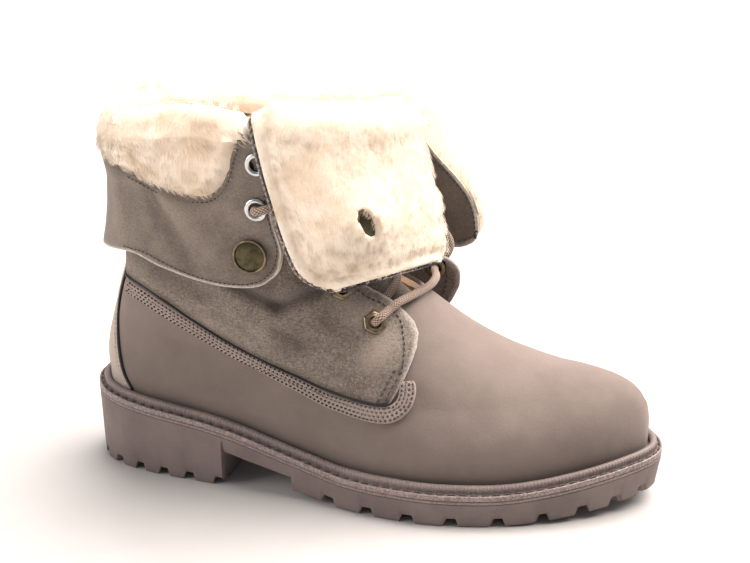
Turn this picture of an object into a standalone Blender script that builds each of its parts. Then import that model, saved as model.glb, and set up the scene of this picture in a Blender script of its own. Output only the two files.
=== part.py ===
"""Fur-lined lace-up ankle boot, right foot, standing empty on its sole with collar and tongue turned down.

The origin is the middle of the heel's tread on the floor. +X runs to the toe, +Y to the inner (medial) side, +Z up.
Tables are in millimetres from the back of the sole; place() turns them into metres about the origin.
"""
import math

import bmesh
import bpy
import numpy as np
from mathutils import Vector
from mathutils.bvhtree import BVHTree

# ---------------------------------------------------------------- driving sizes, in mm
MM = 0.001
ORIGIN_X = 36.0            # from the back of the sole to the middle of the heel's tread
SOLE_LENGTH = 280.0
GAP = 0.4                  # between pieces that touch
SIDES = {1: "lateral", 2: "medial"}

HEEL_LENGTH = 74.5         # to the breast of the heel
FOREPART_START = 110.0     # back edge of the forepart's tread
TOE_SPRING = 8.8
SPRING_START = 192.0
TREAD_DEPTH = 3.6
WELT_THICK = 2.4
WELT_WIDTH = 10.4
BEAD_INSET = 2.4           # from the sole's rim to the outside of the bead
BEAD_RADIUS = 2.0
BEAD_HEIGHT = 4.4
FEATHER_INSET = 6.9        # from the sole's rim to the foot of the upper
WALL = 5.0                 # leather and pile of the upper
INSOLE_THICK = 5.0
OVERLAY_THICK = 1.8        # suede of the eyestays
LACE_RADIUS = 2.0
LACE_START = 0.8           # from the leather to the end of the lace in an eyelet's hole
LACE_RISE = 5.2            # from the leather to the middle of a lace that has bent over an eyelet's rim
SNAP_RADIUS = 8.0
SNAP_THICK = 2.2
RING_RADIUS = 5.4          # round eyelets of the cuff
RING_HOLE = 2.9
HEX_APOTHEM = 5.0          # hexagonal eyelets of the throat
HEX_HOLE = 2.7
EYELET_THICK = 1.4
EYELET_LIFT = 0.35         # from the cuff's facets to the round eyelets
HEX_LIFT = 0.7             # from the quarters' facets, which are hollow in places, to the hexagonal ones
SNAP_LIFT = 0.4
TURN_STEPS = 12

# Plan of the sole's rim: station along the length, half-widths on the outer and the inner side.
SOLE_PLAN = np.array([
    # station  lateral  medial
    (0.03,     21.0,    19.5),
    (0.12,     32.6,    32.0),
    (0.25,     36.9,    34.5),
    (0.40,     41.0,    34.5),
    (0.55,     49.6,    42.0),
    (0.66,     50.4,    47.0),
    (0.78,     43.4,    46.5),
    (0.88,     32.2,    39.5),
    (0.96,     17.8,    26.0),
])
TOE_SWING = 7.0            # how far the toe turns to the inner side

# Height of the rim's edge above the floor, and the tread's, along the length.
RIM_HEIGHT = np.array([
    # x       z
    (0.0,     39.0),
    (75.0,    31.1),
    (140.0,   17.0),
    (200.0,   16.6),
    (280.0,   26.3),
])
ARCH_HEIGHT = np.array([(74.0, 18.6), (92.0, 14.6), (110.0, 10.6)])
FOREPART_FOOT = np.array([(110.0, 4.2), (122.0, 2.0), (136.0, 0.0), (192.0, 0.0)])

# Side outline of the upper: its back, and its ridge from the toe to the front of the ankle.
BACK_LINE = np.array([
    # z       x
    (38.0,    6.9),
    (44.5,    7.0),
    (51.0,    6.2),
    (60.0,    7.0),
    (75.0,    10.6),
    (92.0,    15.4),
    (106.0,   19.2),
    (125.0,   21.5),
    (150.0,   22.0),
    (190.0,   20.0),
])
RIDGE_LINE = np.array([
    # x       z
    (100.0,   330.0),
    (112.0,   190.0),
    (120.0,   150.0),
    (130.0,   128.0),
    (140.0,   115.5),
    (152.0,   104.8),
    (158.0,   100.0),
    (164.0,   95.4),
    (172.0,   89.6),
    (180.0,   83.8),
    (190.0,   77.8),
    (200.0,   72.8),
    (214.0,   67.6),
    (228.0,   64.0),
    (240.0,   62.4),
    (250.0,   60.2),
    (258.0,   57.4),
    (264.6,   54.0),
    (269.4,   49.4),
    (272.2,   44.0),
    (273.1,   36.5),
])
RIDGE_SWING = 5.0          # how far the instep's ridge lies to the inner side
SHAFT_HALF = 40.5
HEEL_FULL = 70.0           # where the heel has its full width
SHOULDER = (2.3, 1.95)     # exponents of the instep's cross-section

# The upper's open edge on each side: collar, front of the ankle and throat.
COLLAR_EDGE = {
    "lateral": np.array([(20.5, 172.0), (33.0, 174.8), (48.0, 177.8), (70.0, 179.6), (92.0, 178.0), (100.5, 160.0),
                         (112.0, 138.0), (124.0, 121.0), (136.0, 109.8), (144.5, 101.2), (150.5, 96.9), (156.0, 96.2),
                         (160.5, 96.0), (164.0, 95.4)]),
    "medial": np.array([(20.5, 172.0), (34.0, 168.0), (50.0, 166.0), (70.0, 168.5), (84.0, 171.0), (96.0, 170.0),
                        (105.0, 156.0), (115.0, 138.0), (126.0, 121.5), (137.0, 110.0), (145.0, 101.4), (150.5, 97.1),
                        (156.0, 96.2), (160.5, 96.0), (164.0, 95.4)]),
}

# Side outline of the suede quarter on each side, from the seam beside the heel's strip.
QUARTER = {
    "bottom": np.array([(25.5, 100.2), (38.4, 97.9), (51.7, 91.7), (64.0, 84.5), (79.0, 76.8), (94.0, 70.5),
                        (108.5, 64.6), (123.0, 59.4), (138.0, 56.4), (150.5, 54.9), (158.0, 55.6)]),
    "front": np.array([(158.0, 55.6), (161.0, 61.0), (164.2, 68.8), (166.3, 76.8), (166.2, 82.4), (163.6, 87.0),
                       (158.8, 91.4), (153.4, 95.9), (148.6, 99.2), (143.4, 102.4), (135.2, 108.6), (123.4, 119.4),
                       (113.0, 133.5)]),
    "top": np.array([(25.5, 114.0), (60.0, 114.5), (90.0, 117.0), (104.0, 123.0), (113.0, 133.5)]),
}
# Middle of the padded band that edges the quarter, from the heel's strip round the quarter's front corner.
BAND_LINE = np.array([(25.5, 95.2), (39.0, 91.6), (58.0, 82.4), (75.0, 74.2), (92.0, 67.0), (108.5, 60.0), (125.0, 53.6),
                      (138.0, 51.2), (150.0, 50.0), (158.4, 50.8), (163.6, 54.6), (165.4, 60.0), (164.8, 65.5)])
BAND_WIDTH = 7.5
BAND_THICK = 2.6
FLAP_LIFT = (3.0, 7.0, 9.0)   # how the inner quarter's front corner stands off the instep,
FLAP_FORWARD = (10.0, 3.0, 3.0)   # and how its whole front edge is pulled towards the toe

# Turned-down cuff: back line, half-width, front edge and lower edge.
CUFF_BACK = np.array([(98.0, 8.0), (116.0, 9.4), (126.0, 11.0), (138.0, 12.4), (150.0, 12.4), (160.0, 10.8),
                      (168.0, 11.6), (178.0, 13.0), (195.0, 14.5)])
CUFF_HALF = np.array([(98.0, 50.8), (130.0, 49.6), (155.0, 49.4), (195.0, 48.6)])
CUFF_ROUND = 44.0          # length over which the cuff's back closes
CUFF_ROLL = 11.0           # from the shaft's edge to the top of the roll
CUFF_SEAT = 1.6            # from the shaft's edge to the roll's underside
CUFF_FRONT = {
    "lateral": np.array([(100.0, 110.0), (127.0, 109.5), (142.0, 105.4), (150.0, 104.0), (166.0, 104.0), (172.0, 102.6),
                         (177.0, 97.0), (182.0, 90.5), (195.0, 87.5)]),
    "medial": np.array([(98.0, 131.0), (112.0, 131.0), (129.0, 127.0), (141.0, 119.0), (153.0, 109.0), (166.0, 101.0),
                        (176.0, 95.0), (195.0, 92.0)]),
}
CUFF_HEM = {
    "lateral": np.array([(9.0, 115.5), (20.0, 118.5), (35.0, 120.8), (53.0, 115.5), (70.0, 111.0), (84.5, 109.4),
                         (96.0, 110.4), (103.5, 114.5), (108.0, 120.5), (109.5, 128.0)]),
    "medial": np.array([(9.0, 115.5), (20.0, 118.0), (35.0, 118.5), (60.0, 111.5), (85.0, 105.6), (108.0, 101.6),
                        (118.0, 101.2), (125.0, 103.0), (129.5, 107.5), (131.0, 114.0)]),
}

# Tongue: middle of the sheet from under the vamp, up the throat, over the fold and down the hanging flap.
# turn: degrees from facing the toe towards the outer side. bow: how far the edges fall back, and dip: how many
# degrees below level they fall. tilt: how much the outer edge is raised.
TONGUE = np.array([
    # x      y      z      turn  half   bow   dip   tilt  thick
    (180.0,  4.5,   74.0,  0.0,  11.0,  4.0,  66.0,  0.0,  3.2),
    (170.0,  4.2,   81.0,  0.0,  12.0,  4.0,  66.0,  0.0,  3.2),
    (158.0,  3.2,   90.4,  0.0,  13.0,  4.5,  64.0,  0.0,  3.2),
    (146.0,  2.0,  100.4,  2.0,  15.0,  6.0,  52.0,  0.0,  3.2),
    (136.5,  0.5,  110.0,  7.0,  18.0,  9.0,  36.0,  0.0,  3.4),
    (130.0, -1.0,  123.0, 15.0,  22.0, 11.0,  16.0,  0.0,  3.8),
    (127.5, -3.5,  139.0, 24.0,  27.0, 11.0,   0.0,  0.0,  4.2),
    (127.0, -7.0,  155.0, 33.0,  31.0, 12.0,   0.0,  0.0,  4.6),
    (127.0,-10.5,  168.0, 38.0,  33.0, 13.0,   0.0,  1.0,  5.5),
    (128.0,-15.0,  178.0, 41.0,  36.5, 13.5,   0.0,  3.0,  7.0),
    (131.4,-20.5,  184.5, 42.0,  41.5, 15.0,   0.0,  4.5,  9.0),
    (135.7,-26.0,  183.0, 41.0,  45.0, 15.0,   0.0,  5.0,  9.0),
    (138.9,-28.0,  174.0, 40.0,  46.0, 15.0,   0.0,  4.0,  8.5),
    (143.4,-30.0,  159.0, 39.0,  46.0, 14.5,   4.0,  3.0,  8.5),
    (148.2,-30.0,  144.0, 38.0,  46.0, 14.0,  10.0,  1.5,  8.5),
    (152.4,-28.8,  129.5, 37.0,  45.0, 13.0,  16.0,  0.0,  8.5),
    (156.0,-26.0,  118.0, 36.0,  44.5, 12.0,  22.0,  0.0,  8.5),
    (157.4,-25.0,  112.5, 36.0,  43.5, 12.0,  24.0,  0.0,  7.0),
])
FLAP_CORNER = 16.0         # radius of the flap's lower corners
FLAP_SNAP = (30.0, -0.16)   # the flap's snap: from the flap's end, and across


# ---------------------------------------------------------------- small maths
def smooth(table, x, key=0, value=1):
    """Reads a table as a smooth curve: cubic pieces whose slopes never overshoot the rows."""
    xs, ys = table[:, key], table[:, value]
    x = np.clip(np.asarray(x, float), xs[0], xs[-1])
    step = np.diff(xs)
    secant = np.diff(ys) / step
    slope = np.empty_like(ys)
    slope[0], slope[-1] = secant[0], secant[-1]
    product = secant[:-1] * secant[1:]
    mean = (secant[:-1] * step[1:] + secant[1:] * step[:-1]) / (step[:-1] + step[1:])
    limit = 2.5 * np.minimum(abs(secant[:-1]), abs(secant[1:]))
    slope[1:-1] = np.where(product > 0, np.sign(mean) * np.minimum(abs(mean), limit), 0.0)
    i = np.clip(np.searchsorted(xs, x, side="right") - 1, 0, len(xs) - 2)
    t = (x - xs[i]) / step[i]
    return (ys[i] * (1 + 2 * t) * (1 - t) ** 2 + slope[i] * step[i] * t * (1 - t) ** 2
            + ys[i + 1] * t * t * (3 - 2 * t) + slope[i + 1] * step[i] * t * t * (t - 1))


def ease(low, high, x):
    t = np.clip((x - low) / (high - low), 0, 1)
    return t * t * (3 - 2 * t)


def place(points):
    """Table millimetres to the part's own metres."""
    return (np.asarray(points, float) - (ORIGIN_X, 0, 0)) * MM


# ---------------------------------------------------------------- the last
def sole_half(x, side):
    """Half-width of the sole's rim at x: side 1 is lateral, 2 medial."""
    t = np.clip(np.asarray(x, float) / SOLE_LENGTH, 0, 1)
    turn = np.arccos(1 - 2 * t)
    rows = np.arccos(1 - 2 * SOLE_PLAN[:, 0])
    table = np.column_stack([rows, SOLE_PLAN[:, side] / np.sin(rows)])
    return smooth(table, turn) * np.sin(turn)


def sole_centre(x):
    return TOE_SWING * np.clip((np.asarray(x, float) / SOLE_LENGTH - 0.6) / 0.4, 0, 1) ** 2


def rim_height(x):
    return smooth(RIM_HEIGHT, x)


def sole_loop(count):
    """The rim seen from above, from the back round the lateral side, and its outward directions."""
    turn = np.arange(count) * 2 * math.pi / count
    x = SOLE_LENGTH * (1 - np.cos(turn)) / 2
    lateral = turn < math.pi
    half = np.where(lateral, -sole_half(x, 1), sole_half(x, 2))
    plan = np.column_stack([x, sole_centre(x) + half])
    along = np.roll(plan, -1, 0) - np.roll(plan, 1, 0)
    out = np.column_stack([-along[:, 1], along[:, 0]]) * -1
    return plan, out / np.linalg.norm(out, axis=1)[:, None]


def inset_edges(distance):
    """The two sides of the rim moved inwards, each a list of points from the back to the toe."""
    plan, out = sole_loop(720)
    moved = plan - out * distance
    back, front = moved[:, 0].argmin(), moved[:, 0].argmax()
    ring = np.roll(moved, -back, axis=0)
    front = (front - back) % len(ring)
    lateral, medial = ring[:front + 1], np.vstack([ring[front:], ring[:1]])[::-1]
    if lateral[len(lateral) // 2, 1] > medial[len(medial) // 2, 1]:
        lateral, medial = medial, lateral
    return lateral, medial


def inset_loop(distance, count):
    """The rim moved inwards, with its points spread evenly again, from the back round the lateral side."""
    lateral, medial = inset_edges(distance)
    low, high = lateral[0, 0], lateral[-1, 0]
    turn = np.arange(count) * 2 * math.pi / count
    x = low + (high - low) * (1 - np.cos(turn)) / 2
    y = np.where(turn < math.pi, np.interp(x, *lateral.T), np.interp(x, *medial.T))
    return np.column_stack([x, y])


FOOT_EDGES = inset_edges(FEATHER_INSET)


def foot_half(x, side):
    """Half-width of the upper's foot at x: side 1 is lateral, 2 medial."""
    edge = FOOT_EDGES[side - 1]
    return np.maximum(np.abs(np.interp(x, *edge.T) - sole_centre(x)), 0.0)


def half_width(x, z, side):
    """Half-width of the upper's outside at length x and height z."""
    x, z = np.broadcast_arrays(np.asarray(x, float), np.asarray(z, float))
    foot = rim_height(x)
    back = smooth(BACK_LINE, z) - FEATHER_INSET
    low = foot_half(x - back * ease(95, 25, x), side)
    low = low + 2.2 * np.sin(np.pi * np.clip((z - foot - 5) / 32.0, 0, 1)) * ease(12, 60, x) * ease(272, 250, x)
    full = foot_half(HEEL_FULL, side)
    rise = ease(52, 128, z) * ease(185, 130, x)
    wide = low + (SHAFT_HALF - full) * rise * np.clip(low / full, 0, 1)
    top = smooth(RIDGE_LINE, x)
    share = np.clip((z - foot - 6) / np.maximum(top - foot - 6, 1), 0, 1)
    return wide * (1 - share ** SHOULDER[0]) ** (1 / SHOULDER[1])


def upper_point(x, z, side):
    """A point of the upper's outside, from its place in side view."""
    x, z = np.broadcast_arrays(np.asarray(x, float), np.asarray(z, float))
    top = smooth(RIDGE_LINE, x)
    lean = RIDGE_SWING * np.clip((z - rim_height(x)) / (top - rim_height(x)), 0, 1) ** 2 * ease(110, 165, x)
    sign = -1 if side == 1 else 1
    return np.stack([x, sole_centre(x) + lean + sign * half_width(x, z, side), z], -1)


def along_path(points, shares):
    """Points at shares of a path's length."""
    length = np.r_[0, np.cumsum(np.linalg.norm(np.diff(points, axis=0), axis=1))]
    where = np.asarray(shares) * length[-1]
    return np.column_stack([np.interp(where, length, points[:, k]) for k in range(points.shape[1])])


def rounded(points, count=160):
    """A smooth curve through a few points, as Catmull-Rom pieces."""
    p = np.vstack([2 * points[0] - points[1], points, 2 * points[-1] - points[-2]])
    out = []
    pieces = len(points) - 1
    each = max(2, count // pieces)
    for i in range(pieces):
        t = np.linspace(0, 1, each, endpoint=i == pieces - 1)[:, None]
        a, b, c, d = p[i:i + 4]
        out.append(0.5 * (2 * b + (c - a) * t + (2 * a - 5 * b + 4 * c - d) * t ** 2
                          + (3 * b - 3 * c + d - a) * t ** 3))
    return np.vstack(out)


def relax(grid, rounds=160):
    """Evens out the inside of a grid and keeps its border: elliptic smoothing, which leaves no folds."""
    grid = grid.copy()
    for _ in range(rounds):
        across = (grid[1:-1, 2:] - grid[1:-1, :-2]) / 2
        along = (grid[2:, 1:-1] - grid[:-2, 1:-1]) / 2
        a = (along ** 2).sum(-1)[..., None]
        b = (across * along).sum(-1)[..., None]
        c = (across ** 2).sum(-1)[..., None]
        twist = (grid[2:, 2:] - grid[2:, :-2] - grid[:-2, 2:] + grid[:-2, :-2]) / 4
        even = a * (grid[1:-1, 2:] + grid[1:-1, :-2]) + c * (grid[2:, 1:-1] + grid[:-2, 1:-1]) - 2 * b * twist
        grid[1:-1, 1:-1] = even / (2 * (a + c))
    return grid


def side_patch(side, columns, rows):
    """Grid in side view from the upper's foot to its open edge, from the back to the ridge."""
    name = SIDES[side]
    turn = np.linspace(0, math.pi, columns)
    share = (1 - np.cos(turn)) / 2
    first, last = smooth(BACK_LINE, 40.0), RIDGE_LINE[-1, 0]
    foot_x = first + (last - first) * share
    foot = np.column_stack([foot_x, rim_height(foot_x) + GAP])
    edge = along_path(rounded(COLLAR_EDGE[name]), share)
    climb = np.linspace(0, 1, rows)
    back_z = foot[0, 1] + (edge[0, 1] - foot[0, 1]) * climb
    back = np.column_stack([smooth(BACK_LINE, back_z), back_z])
    ridge_x = np.r_[np.linspace(last, RIDGE_LINE[-1, 0], 2), RIDGE_LINE[::-1, 0]]
    ridge_x = ridge_x[ridge_x >= edge[-1, 0]]
    fine = np.interp(np.linspace(0, len(ridge_x) - 1, 200), np.arange(len(ridge_x)), ridge_x)
    ridge = np.column_stack([fine, smooth(RIDGE_LINE, fine)])
    ridge = np.vstack([foot[-1], ridge, [edge[-1, 0], smooth(RIDGE_LINE, edge[-1, 0])]])
    ridge = along_path(ridge, climb)
    s, t = share[None, :, None], climb[:, None, None]
    grid = ((1 - t) * foot[None] + t * edge[None] + (1 - s) * back[:, None] + s * ridge[:, None]
            - (1 - s) * (1 - t) * foot[0] - s * (1 - t) * foot[-1] - (1 - s) * t * edge[0] - s * t * edge[-1])
    return relax(grid)


# ---------------------------------------------------------------- Blender helpers
def clear_scene():
    for old in list(bpy.data.objects):
        bpy.data.objects.remove(old, do_unlink=True)


def collection(name, shown=True):
    made = bpy.data.collections.new(name)
    bpy.context.scene.collection.children.link(made)
    made.hide_render = not shown
    return made


def finish(name, colour, roughness, metallic=0.0):
    """A plain Principled material."""
    made = bpy.data.materials.new(name)
    made.use_nodes = True
    shader = made.node_tree.nodes["Principled BSDF"]
    shader.inputs["Base Color"].default_value = (*colour, 1.0)
    shader.inputs["Roughness"].default_value = roughness
    shader.inputs["Metallic"].default_value = metallic
    return made


def add_mesh(name, points, faces, material, where, outward=True):
    """Makes an object from points in table millimetres."""
    mesh = bpy.data.meshes.new(name)
    mesh.from_pydata([tuple(p) for p in place(points)], [], faces)
    build = bmesh.new()
    build.from_mesh(mesh)
    bmesh.ops.remove_doubles(build, verts=build.verts, dist=1e-6)
    if outward:
        bmesh.ops.recalc_face_normals(build, faces=build.faces)
    build.to_mesh(mesh)
    build.free()
    mesh.materials.append(material)
    made = bpy.data.objects.new(name, mesh)
    where.objects.link(made)
    mesh.shade_smooth()
    mesh.set_sharp_from_angle(angle=math.radians(40))
    return made


def grid_faces(rows, columns, wrap_rows=False, wrap_columns=False, start=0):
    faces = []
    for i in range(rows if wrap_rows else rows - 1):
        for j in range(columns if wrap_columns else columns - 1):
            a, b = i * columns + j, i * columns + (j + 1) % columns
            c, d = ((i + 1) % rows) * columns + (j + 1) % columns, ((i + 1) % rows) * columns + j
            faces.append((a + start, b + start, c + start, d + start))
    return faces


def loft(name, rings, material, where, closed_path=False):
    """A solid through rings of equal count; ends are capped unless the path is closed."""
    rings = np.asarray(rings, float)
    rows, columns = rings.shape[:2]
    faces = grid_faces(rows, columns, wrap_rows=closed_path, wrap_columns=True)
    if not closed_path:
        faces.append(tuple(range(columns)))
        faces.append(tuple(range((rows - 1) * columns, rows * columns)))
    return add_mesh(name, rings.reshape(-1, 3), faces, material, where)


def cut(target, cutter):
    change = target.modifiers.new("Cut " + cutter.name, "BOOLEAN")
    change.operation = "DIFFERENCE"
    change.object = cutter
    change.solver = "EXACT"


def apply_modifiers(target):
    """Bakes the modifiers into the mesh, so that later cuts start from one clean solid."""
    graph = bpy.context.evaluated_depsgraph_get()
    mesh = bpy.data.meshes.new_from_object(target.evaluated_get(graph))
    target.modifiers.clear()
    target.data = mesh


def normals_of(grid, wrap):
    """Unit normals of a grid of points, by differences along its rows and columns."""
    down = np.gradient(grid, axis=0)
    if wrap:
        across = (np.roll(grid, -1, 1) - np.roll(grid, 1, 1)) / 2
    else:
        across = np.gradient(grid, axis=1)
    out = np.cross(across, down)
    length = np.linalg.norm(out, axis=2)[..., None]
    return out / np.maximum(length, 1e-9)


def shell(name, outer, inner, material, where, wrap=False):
    """A closed solid between two grids of points: rings that close on themselves, or one open sheet."""
    rows, columns = outer.shape[:2]
    count = rows * columns
    points = np.vstack([outer.reshape(-1, 3), inner.reshape(-1, 3)])
    faces = grid_faces(rows, columns, wrap_columns=wrap)
    faces += [tuple(reversed(f)) for f in grid_faces(rows, columns, wrap_columns=wrap, start=count)]
    last = (rows - 1) * columns
    for j in range(columns if wrap else columns - 1):
        k = (j + 1) % columns
        faces.append((j, count + j, count + k, k))
        faces.append((last + j, last + k, count + last + k, count + last + j))
    if not wrap:
        for i in range(rows - 1):
            a, b = i * columns, (i + 1) * columns
            faces.append((a, b, count + b, count + a))
            a, b = a + columns - 1, b + columns - 1
            faces.append((a, count + a, count + b, b))
    return add_mesh(name, points, faces, material, where)


# ---------------------------------------------------------------- sole
def sole_top(x):
    return rim_height(x) - WELT_THICK - GAP


def tread_height(x):
    """Underside of the sole at x, without its grooves."""
    spring = TOE_SPRING * np.clip((x - SPRING_START) / (SOLE_LENGTH - SPRING_START), 0, 1) ** 2
    if x <= HEEL_LENGTH:
        return 1.6 * max(0.0, 1 - x / 7) ** 2
    if x < FOREPART_START:
        return float(smooth(ARCH_HEIGHT, x))
    return float(smooth(FOREPART_FOOT, x)) + spring


def make_outsole(material, where, cutters):
    turn = np.linspace(0.06, math.pi - 0.06, 27)
    stations = list(SOLE_LENGTH * (1 - np.cos(turn)) / 2)
    steps = [HEEL_LENGTH - 1.2, HEEL_LENGTH + 0.6, FOREPART_START - 0.6, FOREPART_START + 0.6]
    stations = sorted([x for x in stations if min(abs(x - s) for s in steps) > 1.8] + steps)
    draft = 1.6
    rings = []
    for x in stations:
        bottom, top = tread_height(x), float(sole_top(x))
        centre = float(sole_centre(x))
        ring = []
        for side, sign in ((1, -1), (2, 1)):
            half = float(sole_half(x, side))
            narrow = max(half - draft, half * 0.8)
            wall = [(narrow, bottom), (narrow + 0.6, bottom + 1.2), ((half + narrow) / 2 + 0.3, (bottom + top) / 2),
                    (half, top - 0.8), (half - 0.5, top)]
            wall = [(x, centre + sign * y, z) for y, z in wall]
            ring += wall if side == 1 else wall[::-1]
        rings.append(ring)
    outsole = loft("outsole", rings, material, where)
    cut(outsole, make_grooves(cutters))
    apply_modifiers(outsole)
    return outsole


HEEL_GROOVES = (5.5, 19.3, 33.0, 46.8, 60.5, 74.3, 89.8)   # along the rim from the middle of the back
FORE_GROOVES = (0.0, 15.4, 31.0, 48.6, 68.6, 89.8, 111.8, 132.8, 153.0, 173.4)   # from the toe, both ways


def make_grooves(cutters):
    """Wedges that part the lugs: along the edge of the heel, and of the forepart round the toe."""
    plan, out = sole_loop(720)
    length = np.r_[0, np.cumsum(np.linalg.norm(np.diff(np.vstack([plan, plan[:1]]), axis=0), axis=1))]
    toe = length[plan[:, 0].argmax()]
    whole = length[-1]
    places = []
    for step in HEEL_GROOVES:
        places += [(step, 13.0, 4.6), (whole - step, 13.0, 4.6)]
    for step in FORE_GROOVES:
        reach = 17.0 if step > 40 else 11.0
        places += [(toe + way * step, reach, 5.6) for way in ((-1, 1) if step else (1,))]
    points, faces = [], []
    for at, reach, width in places:
        spot = np.array([np.interp(at, length[:-1], plan[:, k]) for k in (0, 1)])
        away = np.array([np.interp(at, length[:-1], out[:, k]) for k in (0, 1)])
        away = away / np.linalg.norm(away)
        side = np.array([-away[1], away[0]])
        low = tread_height(spot[0] - away[0] * 8)
        start = len(points)
        for depth, half in ((-6.0, width * 0.62), (TREAD_DEPTH, width * 0.42)):
            for along, across in ((6.0, half), (6.0, -half), (-reach, -half * 0.75), (-reach, half * 0.75)):
                flat = spot + away * along + side * across
                points.append((flat[0], flat[1], low + depth))
        faces += [tuple(start + i for i in f) for f in
                  ((3, 2, 1, 0), (4, 5, 6, 7), (0, 1, 5, 4), (1, 2, 6, 5), (2, 3, 7, 6), (3, 0, 4, 7))]
    wedges = add_mesh("groove_cutter", points, faces, finish("cutter", (0.8, 0.2, 0.2), 0.5), cutters)
    wedges.hide_render = True
    wedges.display_type = "WIRE"
    return wedges


def ring_sweep(name, section, count, material, where):
    """Sweeps a closed section round the rim; a section point is its inset from the rim and height over it."""
    rings = []
    for inset, height in section:
        plan = inset_loop(inset, count)
        rings.append(np.column_stack([plan, rim_height(plan[:, 0]) + height]))
    return loft(name, np.swapaxes(np.array(rings), 0, 1), material, where, closed_path=True)


def make_welt(material, where):
    middle = BEAD_INSET + BEAD_RADIUS
    section = [(0.0, -WELT_THICK), (0.0, -0.5), (0.4, 0.0), (BEAD_INSET, 0.0)]
    for turn in np.radians([155, 90, 25]):
        section.append((middle - BEAD_RADIUS * math.cos(math.pi - turn), BEAD_HEIGHT - BEAD_RADIUS
                        + BEAD_RADIUS * math.sin(turn)))
    section = section[:4] + sorted(section[4:])
    section += [(middle + BEAD_RADIUS, 0.0), (WELT_WIDTH, 0.0), (WELT_WIDTH, -WELT_THICK)]
    return ring_sweep("welt", section, 46, material, where)


def make_insole(material, where):
    inset = FEATHER_INSET + WALL + 1.4
    lateral, medial = inset_edges(inset)
    low, high = lateral[0, 0], lateral[-1, 0]
    rings = []
    for turn in np.linspace(0.12, math.pi - 0.12, 18):
        x = low + (high - low) * (1 - math.cos(turn)) / 2
        edges = np.interp(x, *lateral.T), np.interp(x, *medial.T)
        base = float(sole_top(x)) + GAP
        middle, half = sum(edges) / 2, (edges[1] - edges[0]) / 2
        section = [(-1.0, 1.2), (-1.0, INSOLE_THICK - 1.4), (-0.94, INSOLE_THICK), (0.0, INSOLE_THICK - 0.8),
                   (0.94, INSOLE_THICK), (1.0, INSOLE_THICK - 1.4), (1.0, 1.2), (0.97, 0.0), (-0.97, 0.0)]
        rings.append([(x, middle + share * half, base + height) for share, height in section])
    return loft("insole", rings, material, where)


# ---------------------------------------------------------------- upper
MOUTH_SKEW = 50.0          # how far the inner side of the mouth is pulled forward of the outer side


def mouth_skew(x, z, side):
    """How far a point of the collar is pulled forward, as a folded-open boot stands."""
    if side == 1:
        return np.zeros_like(x + z)
    return MOUTH_SKEW * ease(98, 172, z) * ease(28, 98, x)


def skin_point(x, z, side):
    points = upper_point(x, z, side)
    points[..., 0] += mouth_skew(x, z, side)
    return points


def skin_normal(x, z, side):
    """Outward direction of the skin, from the slopes of its squared half-width, which stay finite at the ridge."""
    x, z = np.broadcast_arrays(np.asarray(x, float), np.asarray(z, float))
    step = 0.4

    def square(x, z):
        return half_width(x, z, side) ** 2

    out = np.stack([square(x - step, z) - square(x + step, z),
                    4 * step * half_width(x, z, side) * (-1 if side == 1 else 1),
                    square(x, z - step) - square(x, z + step)], -1)
    stretch = 1 + (mouth_skew(x + step, z, side) - mouth_skew(x - step, z, side)) / (2 * step)
    lean = (mouth_skew(x, z + step, side) - mouth_skew(x, z - step, side)) / (2 * step)
    out[..., 2] -= out[..., 0] * lean / stretch
    out[..., 0] /= stretch
    return out / np.linalg.norm(out, axis=-1)[..., None]


def join_sides(lateral, medial):
    """Rings from two grids that share their first and last columns: outer side forwards, inner side back."""
    back = (lateral[:, :1] + medial[:, :1]) / 2
    front = (lateral[:, -1:] + medial[:, -1:]) / 2
    return np.concatenate([back, lateral[:, 1:-1], front, medial[:, -2:0:-1]], axis=1)


def upper_rings(columns, rows):
    """Rings of the upper from its foot to the open edge, and their outward directions."""
    flats = [side_patch(side, columns, rows) for side in (1, 2)]
    points = join_sides(*[skin_point(f[..., 0], f[..., 1], n + 1) for n, f in enumerate(flats)])
    out = join_sides(*[skin_normal(f[..., 0], f[..., 1], n + 1) for n, f in enumerate(flats)])
    out = (out + (np.roll(out, 1, 1) + np.roll(out, -1, 1)) / 2) / 2
    return points, out / np.linalg.norm(out, axis=2)[..., None]


def make_upper(material, where):
    outer, out = upper_rings(28, 12)
    inner = outer - out * WALL
    inner[0, :, 2] = outer[0, :, 2]
    return shell("upper", outer, inner, material, where, wrap=True)


def offset_point(x, z, side, offset):
    return skin_point(x, z, side) + skin_normal(x, z, side) * np.asarray(offset)[..., None]


def corner_lift(points, x, z, side):
    """Lets the inner quarter's front corner stand off the instep, where nothing laces it down."""
    if side == 2:
        share = ease(138, 164, x)[..., None]
        points = points + share * (ease(68.5, 89, z)[..., None] * np.array(FLAP_FORWARD)
                                   + ease(76, 97, z)[..., None] * np.array(FLAP_LIFT))
    return points


OVERLAY_GAP = 0.75         # under the quarter and the band, whose flat facets cross the skin's
THROAT_GAP = 0.8           # more of it under the quarter beside the throat, where the skin turns fastest


def quarter_point(x, z, side, offset):
    x, z = np.broadcast_arrays(np.asarray(x, float), np.asarray(z, float))
    height = offset + THROAT_GAP * np.maximum(ease(132, 148, x) * ease(66, 78, z), ease(96, 110, z) * ease(95, 112, x))
    return corner_lift(offset_point(x, z, side, height), x, z, side)


def coons(bottom, top, left, right):
    """Grid between four borders that meet at their ends, evened out."""
    columns, rows = len(bottom), len(left)
    s = np.linspace(0, 1, columns)[None, :, None]
    t = np.linspace(0, 1, rows)[:, None, None]
    grid = ((1 - t) * bottom[None] + t * top[None] + (1 - s) * left[:, None] + s * right[:, None]
            - (1 - s) * (1 - t) * bottom[0] - s * (1 - t) * bottom[-1] - (1 - s) * t * top[0] - s * t * top[-1])
    return relax(grid)


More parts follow.
